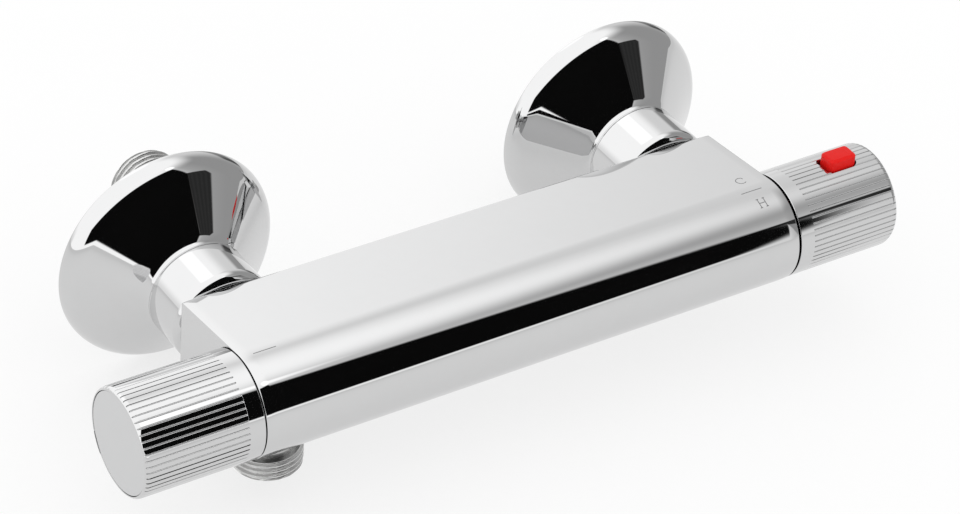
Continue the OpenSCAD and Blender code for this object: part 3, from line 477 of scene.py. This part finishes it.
def makeNut(name, n, x):
    # Round front, straight side, a fine line and a small round at the rim; inside, the bore, its
    # level ridges and the lip. The line's places are counted in rim rounds from the end.
    end, bead, radius, bore = n["end"], n["bead"], n["radius"], n["bore"]
    line = [(end - place * bead, radius - depth) for place, depth in n["line"]]
    outside = roundedOutline(
        [(n["start"], n["neck"]), (n["start"], radius), *line, (end, radius), (end, bore)],
        [0, n["front"], *n["lineRounds"], bead, 0], steps=n["arcSteps"], closed=False)
    ridges = np.arange(n["threads"])[:, None] * pipePitch + np.array(n["ridge"])
    depths = np.tile([0, n["threadDepth"], n["threadDepth"], 0], n["threads"])
    inner = np.column_stack([n["threadStart"] + ridges.ravel()[::-1], bore + depths])
    outline = np.vstack([outside, inner, [(n["lip"], bore), (n["lip"], n["neck"])]])
    return turnedPiece(name, outline, n["steps"], (x, 0, 0), backwards)


flangeSet = {
    "neck": 14.9, "neckStart": 50.7, "neckEnd": 51.6, "neckRound": 0.25, "neckArc": 0.08,
    "neckGuard": 0.3, "wall": 70.0, "wallBevel": 0.25, "radius": 34.0, "thickness": 1.6,
    "coneShare": 0.655, "coneRadiusShare": 0.814, "coneShares": (0.03, 0.97, 0.995),
    "coneSteps": 10, "lipShare": 0.805, "lipSteps": 36, "rimRound": 0.45, "rimSteps": 7,
    "steps": 224, "sharpAngle": 40,
}


def makeFlange(name, f, x):
    # A short neck and a cone, then a curve that leaves the cone's end towards a corner point and
    # reaches the rim from it: (1 - t)^2 * cone + 2t(1 - t) * corner + t^2 * rim. The inside is the
    # same, one wall in.
    neck, start, neckEnd, wall, radius = (
        f[key] for key in ("neck", "neckStart", "neckEnd", "wall", "radius"))
    span, r, arc = wall - neckEnd, f["rimRound"], f["neckArc"]
    foot = np.array([neckEnd, neck])
    cone = np.array([neckEnd + span * f["coneShare"],
                     neck + (radius - neck) * f["coneRadiusShare"]])
    corner = np.array([neckEnd + span * f["lipShare"], radius])
    rim = np.array([wall - r, radius])
    t = np.linspace(0, 1, f["lipSteps"])[:, None]
    lip = (1 - t) ** 2 * cone + 2 * t * (1 - t) * corner + t * t * rim
    first, last, final = f["coneShares"]
    share = np.concatenate([np.linspace(first, last, f["coneSteps"]), [final]])[:, None]
    straight = foot + (cone - foot) * share
    turn = np.linspace(0, pi / 2, f["rimSteps"])[1:]
    edge = np.stack([wall - r + r * np.sin(turn), radius - r + r * np.cos(turn)], 1)
    neckPoints = [(start, neck - f["neckRound"]), (start + arc, neck - arc),
                  (start + f["neckRound"], neck), (neckEnd - f["neckGuard"], neck)]
    outside = np.vstack([neckPoints, straight, lip, edge])
    shape = np.vstack([[(start, neck), (neckEnd, neck)], straight, lip])
    inside = (shape - [0, f["thickness"]])[::-1]
    outline = np.vstack([outside, [(wall, inside[0, 1] + f["wallBevel"])], inside])
    return turnedPiece(name, outline, f["steps"], (x, 0, 0), backwards, f["sharpAngle"])


unionSet = {
    "start": 42.5, "threadEnd": 57.2, "bigRadius": 13.22, "bigEnds": (0.2, 0.6),
    "slantStart": 11.4, "slantEnd": 10.0, "slantStop": 67.0, "slantSteps": 9,
    "plainRows": (0.3, 0.1, 3), "wallStart": 70.6, "end": 89.7, "smallRadius": 10.48,
    "smallEnds": (0.4, 0.05), "depth": 0.85, "rowsPerTurn": 10, "bore": 7.6, "mouth": 0.4,
    "faceInset": 0.12, "offAxis": 12.5, "turn": 75.4, "steps": 112, "sharpAngle": 50,
}


def makeUnion(name, u, x, upward):
    # Rings along y: the ring's centre moves from the big thread's axis to the wall thread's axis
    # over the slanting waist, and the radius follows each helix, the waist's taper or the bore.
    turn, angles, step = radians(u["turn"]), fullTurn(u["steps"]), pipePitch / u["rowsPerTurn"]
    start, threadEnd, stop, wallStart, end = (
        u[key] for key in ("start", "threadEnd", "slantStop", "wallStart", "end"))
    (bigStart, bigEnd), (smallStart, smallEnd) = u["bigEnds"], u["smallEnds"]
    after, before, count = u["plainRows"]
    big, small = np.arange(start, threadEnd, step), np.arange(wallStart, end, step)
    waist = np.linspace(threadEnd, stop, u["slantSteps"])
    plain = np.linspace(stop + after, wallStart - before, count)
    bigRows = threadRadius(u["bigRadius"], u["depth"], big[:, None], angles,
                           start - bigStart, threadEnd + bigEnd)
    smallRows = threadRadius(u["smallRadius"], u["depth"], small[:, None], angles,
                             wallStart - smallStart, end + smallEnd)
    share = np.linspace(0, 1, len(waist))
    even = np.concatenate([u["slantStart"] + (u["slantEnd"] - u["slantStart"]) * share,
                           np.full(count, u["slantEnd"])])
    mouth, bore = u["mouth"], u["bore"]
    inner = np.array([(end, bore + mouth), (end - mouth, bore), (stop, bore), (threadEnd, bore),
                      (start, bore)])
    place = np.concatenate([big, waist, plain, small, [end], inner[:, 0]])
    radius = np.vstack([bigRows, np.repeat(even[:, None], len(angles), 1), smallRows,
                        smallRows[-1:] - u["faceInset"],
                        np.repeat(inner[:, 1:], len(angles), 1)])
    shift = np.clip((place - threadEnd) / (stop - threadEnd), 0, 1)
    grid = roundAxis(place, radius, angles, (x, 0, 0), (0, 1, 0), (0, 0, 1), (1, 0, 0))
    off = np.array([u["offAxis"] * cos(turn), 0, upward * u["offAxis"] * sin(turn)])
    return gridPiece(name, grid + shift[:, None, None] * off, u["sharpAngle"])


outletSet = {
    "place": -80.4, "top": 16.3, "end": 23.2, "ends": (0.8, 0.12), "radius": 10.48, "depth": 0.85,
    "rowsPerTurn": 12, "bore": 7.6, "mouth": 0.35, "shank": 8.5, "shankTop": 13.8, "chamfer": 0.9,
    "guard": 0.05, "steps": 144, "sharpAngle": 50,
}


def makeOutlet(name, o):
    # The same thread downwards, with a plain shank above it and a rounded mouth
    angles, top, end, bore = fullTurn(o["steps"]), o["top"], o["end"], o["bore"]
    before, after = o["ends"]
    place = np.arange(top, end, pipePitch / o["rowsPerTurn"])
    rows = threadRadius(o["radius"], o["depth"], place[:, None], angles,
                        top - before, end + after)
    inner = np.array([(end, o["radius"] - o["chamfer"] - o["guard"]), (end, bore + o["mouth"]),
                      (end - o["mouth"], bore), (o["shankTop"], bore),
                      (o["shankTop"], o["shank"]), (top, o["shank"])])
    along = np.concatenate([place, inner[:, 0]])
    radius = np.vstack([rows, np.repeat(inner[:, 1:], len(angles), 1)])
    grid = roundAxis(along, radius, angles, (o["place"], 0, 0), (0, 0, -1), (1, 0, 0), (0, -1, 0))
    return gridPiece(name, grid, o["sharpAngle"])


# Marks on the bar

markSet = {
    "width": 0.26, "proud": 0.012, "sunk": 0.05,
    "lines": ((-85.9, -78.8, -2.25), (76.8, 84.0, -2.75)), "lineSteps": 8,
    "cold": (81.0, 3.4, 1.55), "coldTurn": (48, 312, 30), "coldTail": (0.68, 0.35, 0.78, 4),
    "hot": (80.9, -7.9, 1.45, 1.5), "hotLeg": 0.72, "hotSteps": 13, "hotBar": 0.7, "hotFoot": 0.42,
}


def onBar(b, lean, x, s, lift):
    # s runs round the bar from the line where its flat leaves its round: forwards over the round
    # when negative, and back along the flat when positive. lift is the height above the surface.
    radial = unit(lean + np.maximum(-s, 0) / b["radius"])
    along = np.array([sin(lean), -cos(lean)])
    flat = unit(lean) * b["radius"] + np.maximum(s, 0)[..., None] * along
    place = np.where((s < 0)[..., None], radial * b["radius"], flat) + radial * lift[..., None]
    return np.concatenate([x[..., None], place], -1)


def stroke(b, m, lean, path):
    # A flat ribbon along the path: its four section points lie half a width to each side, above
    # and below the surface
    path = np.asarray(path, float)
    way = np.gradient(path, axis=0)
    way /= np.linalg.norm(way, axis=1)[:, None]
    side = np.stack([-way[:, 1], way[:, 0]], 1) * m["width"] / 2
    pairs = np.array([(1, 1), (-1, 1), (-1, 0), (1, 0)])
    flat = path[:, None] + side[:, None] * pairs[:, :1]
    lift = np.where(pairs[:, 1] > 0, m["proud"], -m["sunk"]) * np.ones((len(path), 1))
    grid = onBar(b, lean, flat[..., 0], flat[..., 1], lift)
    ends = grid[[0, -1]].mean(1, keepdims=True).repeat(4, 1)
    return np.concatenate([ends[:1], grid, ends[1:]])


def makeMarks(b, m):
    # Paths of (x, s) points: two index lines, C as an arc with a tail, H as legs, bar and feet
    lean = barOutline(b)[2]
    paths = [np.linspace((x0, s), (x1, s), m["lineSteps"]) for x0, x1, s in m["lines"]]
    x, s, r = m["cold"]
    paths.append(np.array([x, s]) + r * unit(np.radians(np.linspace(*m["coldTurn"]))))
    tail, low, high, count = m["coldTail"]
    paths.append(np.linspace((x + r * tail, s + r * low), (x + r * tail, s + r * high), count))
    x, s, w, h = m["hot"]
    legs = [x + k * w * m["hotLeg"] for k in (-1, 1)]
    bar, foot = w * m["hotBar"], m["hotFoot"]
    paths += [np.linspace((leg, s - h), (leg, s + h), m["hotSteps"]) for leg in legs]
    paths.append([(x - bar, s), (x, s), (x + bar, s)])
    paths += [[(leg - foot, s + j * h), (leg + foot, s + j * h)] for leg in legs for j in (-1, 1)]
    return manyGrids("barMarks", [stroke(b, m, lean, path) for path in paths])


# Shader nodes, and the groups that the materials share

def clearTree(owner):
    owner.use_nodes = True
    owner.node_tree.nodes.clear()
    return owner.node_tree


def newGroup(name, inputs, outputs):
    group = bpy.data.node_groups.new(name, "ShaderNodeTree")
    for label, value in inputs:
        kind = "NodeSocketVector" if isinstance(value, tuple) else "NodeSocketFloat"
        socket = group.interface.new_socket(label, in_out="INPUT", socket_type=kind)
        socket.default_value = value
    for label in outputs:
        group.interface.new_socket(label, in_out="OUTPUT", socket_type="NodeSocketFloat")
    return group, group.nodes.new("NodeGroupInput"), group.nodes.new("NodeGroupOutput")


def addNode(tree, kind, links=(), **settings):
    # kind goes without ShaderNode; links are (input name or number, source socket or value)
    node = tree.nodes.new("ShaderNode" + kind)
    for key, value in settings.items():
        setattr(node, key, value)
    for key, value in links:
        if isinstance(value, bpy.types.NodeSocket):
            tree.links.new(value, node.inputs[key])
        else:
            node.inputs[key].default_value = value
    return node


def mathNode(tree, operation, *values):
    return addNode(tree, "Math", enumerate(values), operation=operation).outputs[0]


def dotNode(tree, *values):
    return addNode(tree, "VectorMath", enumerate(values), operation="DOT_PRODUCT").outputs["Value"]


def mapNode(tree, value, start, end, low=0.0, high=1.0, kind="LINEAR"):
    labels = ("Value", "From Min", "From Max", "To Min", "To Max")
    links = zip(labels, (value, start, end, low, high))
    return addNode(tree, "MapRange", links, interpolation_type=kind).outputs[0]


def noiseNode(tree, place, scale, detail, roughness=0.5):
    links = [("Vector", place), ("Scale", scale), ("Detail", detail), ("Roughness", roughness)]
    return addNode(tree, "TexNoise", links).outputs[0]


def mixValues(tree, factor, first, second):
    links = [(0, factor), (2, first), (3, second)]
    return addNode(tree, "Mix", links, data_type="FLOAT").outputs[0]


def mixColours(tree, factor, first, second):
    links = [(0, factor), (6, (*first, 1)), (7, (*second, 1))]
    return addNode(tree, "Mix", links, data_type="RGBA").outputs[2]


wearLabels = ("Smudge Scale", "Scratch Scale", "Smudge", "Scratch", "Spots")
grainLabels = ("Scale", "Stretch", "Contrast")
wearSet = {
    "start": (60.0, 900.0, 0.6, 0.3, 0.2), "smudge": {"detail": 5.0, "roughness": 0.55},
    "smudgeRange": (0.35, 0.72), "scratchStretch": (0.06, 1.0, 1.0), "scratchTurn": (0.3, 0.5, 0.2),
    "scratch": {"detail": 3.0}, "scratchRange": (0.62, 0.8), "spotScale": 420.0,
    "spotRange": (0.12, 0.04),
}
grainSet = {"start": (1500.0, (1.0, 1.0, 1.0), 0.5), "fine": {"detail": 4.0, "roughness": 0.6},
            "coarse": {"detail": 2.0}, "coarseScale": 0.12, "shares": (0.6, 0.4)}


def makeSurfaceWear(w):
    # Cloudy smudges at the scale of a fingertip, fine scratches as stretched noise and small spots,
    # each weighed and added to a mask from 0 to 1
    group, start, end = newGroup("surfaceWear", zip(wearLabels, w["start"]), ["Mask"])
    given = start.outputs
    place = addNode(group, "TexCoord").outputs["Object"]
    stretched = addNode(group, "Mapping", [
        ("Vector", place), ("Scale", w["scratchStretch"]), ("Rotation", w["scratchTurn"])])
    smudge = noiseNode(group, place, given["Smudge Scale"], **w["smudge"])
    scratch = noiseNode(group, stretched.outputs[0], given["Scratch Scale"], **w["scratch"])
    spots = addNode(group, "TexVoronoi", [("Vector", place), ("Scale", w["spotScale"])])
    soft = mapNode(group, smudge, *w["smudgeRange"], kind="SMOOTHSTEP")
    thin = mapNode(group, scratch, *w["scratchRange"])
    dots = mapNode(group, spots.outputs["Distance"], *w["spotRange"])
    mask = mathNode(group, "MULTIPLY", soft, given["Smudge"])
    mask = mathNode(group, "MULTIPLY_ADD", thin, given["Scratch"], mask)
    mask = mathNode(group, "MULTIPLY_ADD", dots, given["Spots"], mask)
    group.links.new(mathNode(group, "MINIMUM", mask, 1.0), end.inputs["Mask"])
    return group


def makeFineGrain(g):
    # Two sizes of noise for cast, moulded or plated skins, with an optional stretch along one axis
    group, start, end = newGroup("fineGrain", zip(grainLabels, g["start"]), ["Value", "Height"])
    given = start.outputs
    place = addNode(group, "TexCoord").outputs["Object"]
    turned = addNode(group, "VectorMath", [(0, place), (1, given["Stretch"])],
                     operation="MULTIPLY").outputs[0]
    coarseScale = mathNode(group, "MULTIPLY", given["Scale"], g["coarseScale"])
    fine = noiseNode(group, turned, given["Scale"], **g["fine"])
    coarse = noiseNode(group, turned, coarseScale, **g["coarse"])
    fineShare, coarseShare = g["shares"]
    coarse = mathNode(group, "MULTIPLY", coarse, coarseShare)
    height = mathNode(group, "MULTIPLY_ADD", fine, fineShare, coarse)
    centred = mathNode(group, "SUBTRACT", height, 0.5)
    value = mathNode(group, "MULTIPLY_ADD", centred, given["Contrast"], 0.5)
    group.links.new(value, end.inputs["Value"])
    group.links.new(height, end.inputs["Height"])
    return group


surfaceWear, fineGrain = makeSurfaceWear(wearSet), makeFineGrain(grainSet)


def finishMaterial(name, low, high, roughness, wear, grain, bump=0.0, **plain):
    # low and high are the two ends of the colour, mixed by grain; roughness is its two ends, mixed
    # by wear; plain are constants on the shader's own sockets
    material = bpy.data.materials.new(name)
    tree = clearTree(material)
    worn = addNode(tree, "Group", zip(wearLabels, wear), node_tree=surfaceWear)
    grained = addNode(tree, "Group", zip(grainLabels, grain), node_tree=fineGrain)
    shader = addNode(tree, "BsdfPrincipled", [
        ("Base Color", mixColours(tree, grained.outputs["Value"], low, high)),
        ("Roughness", mapNode(tree, worn.outputs["Mask"], 0.0, 1.0, *roughness)), *plain.items()])
    if bump:
        relief = addNode(tree, "Bump", [
            ("Height", grained.outputs["Height"]), ("Distance", bump), ("Strength", 1.0)])
        tree.links.new(relief.outputs[0], shader.inputs["Normal"])
    addNode(tree, "OutputMaterial", [("Surface", shader.outputs[0])])
    return material


finishSets = {
    "chrome": {
        "name": "polishedChrome", "low": (0.615, 0.616, 0.618), "high": (0.645, 0.646, 0.648),
        "roughness": (0.02, 0.05), "Metallic": 1.0,
        "wear": (55, 1100, 0.5, 0.25, 0.15), "grain": (240, (1, 1, 1), 0.8)},
    "cap_chrome": {
        "name": "discChrome", "low": (0.60, 0.602, 0.606), "high": (0.64, 0.642, 0.645),
        "roughness": (0.10, 0.16), "Metallic": 1.0,
        "wear": (70, 1300, 0.5, 0.4, 0.1), "grain": (900, (0.1, 1, 1), 0.8), "bump": 0.000002},
    "plated_brass": {
        "name": "dullPlating", "low": (0.58, 0.58, 0.575), "high": (0.62, 0.62, 0.615),
        "roughness": (0.26, 0.30), "Metallic": 1.0,
        "wear": (70, 1000, 0.5, 0.3, 0.15), "grain": (900, (1, 1, 1), 0.8)},
    "brass": {
        "name": "turnedBrass", "low": (0.60, 0.44, 0.18), "high": (0.76, 0.60, 0.30),
        "roughness": (0.18, 0.34), "Metallic": 1.0,
        "wear": (80, 900, 0.7, 0.6, 0.3), "grain": (1600, (0.2, 1, 1), 1.0), "bump": 0.000006},
    "white_plastic": {
        "name": "whiteMoulding", "low": (0.80, 0.80, 0.77), "high": (0.88, 0.88, 0.86),
        "roughness": (0.34, 0.48),
        "wear": (70, 900, 0.6, 0.2, 0.2), "grain": (1800, (1, 1, 1), 0.7), "bump": 0.000008},
    "grey_plastic": {
        "name": "greyMoulding", "low": (0.07, 0.075, 0.085), "high": (0.11, 0.115, 0.125),
        "roughness": (0.38, 0.55),
        "wear": (70, 900, 0.6, 0.3, 0.2), "grain": (1800, (1, 1, 1), 0.8), "bump": 0.00001},
    "red_plastic": {
        "name": "redMoulding", "low": (0.74, 0.010, 0.009), "high": (0.84, 0.018, 0.015),
        "roughness": (0.22, 0.34), "Specular IOR Level": 0.12,
        "wear": (120, 900, 0.6, 0.3, 0.1), "grain": (1400, (1, 1, 1), 0.6), "bump": 0.000003},
    "black_rubber": {
        "name": "blackRubber", "low": (0.012, 0.012, 0.012), "high": (0.03, 0.03, 0.031),
        "roughness": (0.45, 0.65),
        "wear": (90, 900, 0.8, 0.2, 0.5), "grain": (2200, (1, 1, 1), 1.0), "bump": 0.00001},
    "ceramic": {
        "name": "lappedCeramic", "low": (0.84, 0.81, 0.74), "high": (0.90, 0.88, 0.82),
        "roughness": (0.12, 0.24),
        "wear": (90, 1200, 0.5, 0.3, 0.4), "grain": (1500, (1, 1, 1), 0.8), "bump": 0.000004},
    "steel": {
        "name": "drawnSteel", "low": (0.50, 0.51, 0.52), "high": (0.64, 0.65, 0.66),
        "roughness": (0.16, 0.32), "Metallic": 1.0,
        "wear": (90, 1000, 0.6, 0.7, 0.2), "grain": (1500, (0.15, 1, 1), 1.0), "bump": 0.000004},
    "copper": {
        "name": "turnedCopper", "low": (0.62, 0.30, 0.17), "high": (0.78, 0.44, 0.28),
        "roughness": (0.20, 0.36), "Metallic": 1.0,
        "wear": (80, 900, 0.7, 0.5, 0.4), "grain": (1500, (0.2, 1, 1), 1.0), "bump": 0.000006},
    "marks": {
        "name": "markGrey", "low": (0.13, 0.13, 0.133), "high": (0.20, 0.20, 0.205),
        "roughness": (0.4, 0.55),
        "wear": (200, 900, 0.5, 0.3, 0.2), "grain": (2500, (1, 1, 1), 1.0)},
}
finishes = {slot: finishMaterial(**settings) for slot, settings in finishSets.items()}


def paint(piece, finish):
    piece.data.materials.clear()
    piece.data.materials.append(finishes[finish])


for part in frame["record"]["subparts"]:
    paint(frame["nodes"][part["node"]], part["material_slot"])
print("materials made:", len(finishes))


# The pieces, each on its body

def place(piece, body, node, slot, finish=None):
    paint(piece, finish or slot)
    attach(piece, body)
    if node:
        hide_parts(node)


place(makeBar(barSet), "root", "valve_body", "chrome")
place(makeMarks(barSet, markSet), "root", None, "grey_plastic", "marks")
place(makeOutlet("outletThread", outletSet), "root", "outlet_nipple", "chrome", "plated_brass")
print("bar, marks and outlet made")
place(makeHandle("flowHandle", handleSet, flowSet), "flow_handle_set", "flow_handle", "chrome")
place(makeCap("flowHandleDisc", capSet, flowSet), "flow_handle_set", "flow_handle_cap",
      "cap_chrome")
slotted = makeHandle("temperatureHandle", handleSet, temperatureSet)
for makeCutter in (holeCutter, slotCutter):
    slotted = cutAway(slotted, makeCutter(buttonSet))
place(slotted, "temperature_handle_set", "temperature_handle", "chrome")
place(makeSeat(buttonSet), "temperature_handle_set", None, "chrome")
place(makeCap("temperatureHandleDisc", capSet, temperatureSet), "temperature_handle_set",
      "temperature_handle_cap", "cap_chrome")
print("handles made")
for redPart, node in zip(makeButton(buttonSet), ("safety_stop_button", None, None)):
    place(redPart, "safety_button", node, "red_plastic")
print("safety button made")
for side, x, upward in zip(("left", "right"), barSet["inletPlaces"], (1, -1)):
    place(makeNut(side + "UnionNut", nutSet, x), side + "_nut", side + "_union_nut", "chrome")
    place(makeFlange(side + "WallFlange", flangeSet, x), side + "_flange",
          side + "_wall_flange", "chrome")
    place(makeUnion(side + "Union", unionSet, x, upward), side + "_union",
          side + "_eccentric_union", "plated_brass")
print("nuts, flanges and unions made")


# Floor, world and camera

# near and far are (distance in metres, strength) of what mirrored rays see of the floor
floorSet = {"height": -34.3, "half": 9000.0, "steps": 9, "colour": 0.90, "shadow": 0.3,
            "near": (0.05, 0.95), "far": (1.2, 0.74)}


def makeFloor(f):
    # A level grid. The camera and mirrored rays see it white, with a share of the shadow that lies
    # on it, and mirrored rays see it a little darker far away.
    steps = np.linspace(-f["half"], f["half"], f["steps"])
    flat = [*np.meshgrid(steps, steps, indexing="ij"), np.full((f["steps"],) * 2, f["height"])]
    points = np.stack(flat, -1).reshape(-1, 3) * millimetre
    faces = gridFaces(f["steps"], f["steps"], False, False)[:, ::-1]
    mesh = bpy.data.meshes.new("floor")
    mesh.from_pydata(points.tolist(), [], faces.tolist())
    floor = newObject("floor", mesh)
    material = bpy.data.materials.new("paleFloor")
    tree = clearTree(material)
    light = addNode(tree, "LightPath").outputs
    seen = mathNode(tree, "MAXIMUM", light["Is Glossy Ray"], light["Is Transmission Ray"])
    seen = mathNode(tree, "MAXIMUM", light["Is Camera Ray"], seen)
    colour = mixColours(tree, seen, (f["colour"],) * 3, (1, 1, 1))
    matt = addNode(tree, "BsdfDiffuse", [("Color", colour)])
    centre = addNode(tree, "TexCoord").outputs["Object"]
    away = addNode(tree, "VectorMath", [(0, centre)], operation="LENGTH")
    (near, strong), (far, weak) = f["near"], f["far"]
    faint = mapNode(tree, away.outputs["Value"], near, far, strong, weak, "SMOOTHSTEP")
    strength = mixValues(tree, light["Is Camera Ray"], faint, 1.0)
    glow = addNode(tree, "Emission", [("Color", (1, 1, 1, 1)), ("Strength", strength)])
    share = mathNode(tree, "MULTIPLY", seen, 1 - f["shadow"])
    links = [(0, share), (1, matt.outputs[0]), (2, glow.outputs[0])]
    mixed = addNode(tree, "MixShader", links)
    addNode(tree, "OutputMaterial", [("Surface", mixed.outputs[0])])
    mesh.materials.append(material)


# Angles in degrees: compass angle (0 in front, 90 to the right) and height above the horizon.
# side is (angle, darkness), an edge (angle, half its soft width, below 0 where it falls), a peak
# (angle, height), a slant or sill the pole of a plane, a patch (strength, ramp of heights, ramps
# of angles), a spot (strength, middle, how far it is full and where it ends).
studioSet = {
    "bright": 1.42, "deficit": 1.0, "deficitRange": (67.0, 45.0),
    "side": ((0, 0.0), (24, 0.0), (45, 1.05), (100, 1.05), (121, 0.60), (133, 0.46), (143, 0.50),
             (150, 0.18), (158, 0.0)),
    "patches": ((-0.55, (19.0, 11.0), ((105.0, 112.0), (150.0, 140.0))),
                (-0.35, (14.0, 0.0), ((-110.0, -120.0),))),
    "spots": ((0.17, (-175, 50), (11, 13)), (0.8, (40, 57), (2, 5))),
    "cardBottom": (3.0, 0.7), "cardLeft": (-57.0, 0.8), "planeSoft": 0.012,
    "dark": 0.004, "darkRight": (38.7, -1.2), "darkPeak": (20.0, 54.0),
    "darkSlant": (-0.8386, -0.4996, 0.2181),
    "grey": 0.035, "greyRight": (54.0, -0.8), "greyPeak": (-1.0, 39.4),
    "greySlant": (0.7502, 0.6516, 0.1125), "foldTurn": 1.9, "foldDepth": 0.005,
    "sill": (0.2315, 0.6381, 0.7343), "belowSill": 0.36,
}


def makeWorld(w):
    # Everything is lit by a plain white. Metal mirrors a studio: white, darker to the right, with a
    # black card and a grey card in front.
    world = bpy.data.worlds.new("studio")
    tree = clearTree(world)
    way = addNode(tree, "TexCoord").outputs["Generated"]
    parts = addNode(tree, "SeparateXYZ", [(0, way)]).outputs
    ahead = mathNode(tree, "MULTIPLY", parts[1], -1.0)
    compass = mathNode(tree, "DEGREES", mathNode(tree, "ARCTAN2", parts[0], ahead))
    height = mathNode(tree, "DEGREES", mathNode(tree, "ARCSINE", parts[2]))

    def ramp(value, start, end):
        return mapNode(tree, value, start, end, kind="SMOOTHSTEP")

    def edge(value, middle, soft):
        return ramp(value, middle - soft, middle + soft)

    def both(*factors):
        result = factors[0]
        for factor in factors[1:]:
            result = mathNode(tree, "MULTIPLY", result, factor)
        return result

    def inner(pole):
        # On the side of a plane through the valve that its pole points to
        return edge(dotNode(tree, way, pole), 0.0, w["planeSoft"])

    def under(turn, top):
        # Below the great circle that rises to a height at a compass angle:
        # z < tan(height) * (ahead of that angle)
        turn, top = radians(turn), radians(top)
        return inner((sin(turn) * sin(top), -cos(turn) * sin(top), -cos(top)))

    def spot(turn, rise, inside, outside):
        turn, rise = radians(turn), radians(rise)
        middle = (sin(turn) * cos(rise), -cos(turn) * cos(rise), sin(rise))
        return ramp(dotNode(tree, way, middle), cos(radians(outside)), cos(radians(inside)))

    curve = addNode(tree, "ValToRGB", [(0, mapNode(tree, compass, 0.0, 180.0))])
    curve.color_ramp.interpolation = "B_SPLINE"
    stops = curve.color_ramp.elements
    for k, (turn, value) in enumerate(w["side"]):
        stop = stops[k] if k < 2 else stops.new(turn / 180)
        stop.position, stop.color = turn / 180, (value, value, value, 1)
    side = addNode(tree, "SeparateColor", [(0, curve.outputs[0])]).outputs[0]
    low = ramp(height, *w["deficitRange"])
    room = mathNode(tree, "MULTIPLY_ADD", both(side, low), -w["deficit"], w["bright"])
    for strength, rise, turns in w["patches"]:
        patch = both(ramp(height, *rise), *(ramp(compass, *turn) for turn in turns))
        room = mathNode(tree, "MULTIPLY_ADD", patch, strength, room)
    for strength, middle, rim in w["spots"]:
        room = mathNode(tree, "MULTIPLY_ADD", spot(*middle, *rim), strength, room)
    front = both(edge(height, *w["cardBottom"]), edge(compass, *w["cardLeft"]))
    dark, grey = (both(front, edge(compass, *w[card + "Right"]), under(*w[card + "Peak"]),
                       inner(w[card + "Slant"])) for card in ("dark", "grey"))
    wave = mathNode(tree, "SINE", mathNode(tree, "MULTIPLY", compass, w["foldTurn"]))
    folds = mathNode(tree, "MULTIPLY_ADD", wave, w["foldDepth"], w["grey"])
    folds = mixValues(tree, inner(w["sill"]), w["belowSill"], folds)
    room = mixValues(tree, grey, room, folds)
    room = mixValues(tree, dark, room, w["dark"])
    light = addNode(tree, "LightPath").outputs
    strength = mixValues(tree, light["Is Glossy Ray"], 1.0, room)
    sky = addNode(tree, "Background", [("Color", (1, 1, 1, 1)), ("Strength", strength)])
    addNode(tree, "OutputWorld", [("Surface", sky.outputs[0])])
    bpy.context.scene.world = world


cameraSet = {"azimuth": -35.09, "elevation": 36.69, "roll": 4.73, "lens": 140.58, "sensor": 36.0,
             "place": (-495.36, -686.01, 648.47), "clip": (0.01, 100.0)}


def makeCamera(c):
    # The back direction comes from azimuth and elevation; right and up are level, then turned by
    # the roll
    a, e, r = (radians(c[key]) for key in ("azimuth", "elevation", "roll"))
    back = Vector((sin(a) * cos(e), -cos(a) * cos(e), sin(e)))
    right = Vector((0, 0, 1)).cross(back).normalized()
    above = back.cross(right)
    x, y = right * cos(r) + above * sin(r), above * cos(r) - right * sin(r)
    data = bpy.data.cameras.new("camera")
    data.sensor_width, data.lens = c["sensor"], c["lens"]
    data.clip_start, data.clip_end = c["clip"]
    camera = newObject("camera", data)
    turned = Matrix((x, y, back)).transposed().to_4x4()
    camera.matrix_world = Matrix.Translation(Vector(c["place"]) * millimetre) @ turned
    bpy.context.scene.camera = camera


makeFloor(floorSet)
makeWorld(studioSet)
makeCamera(cameraSet)
bpy.context.scene.view_settings.view_transform = "Standard"
print("floor, world and camera made")
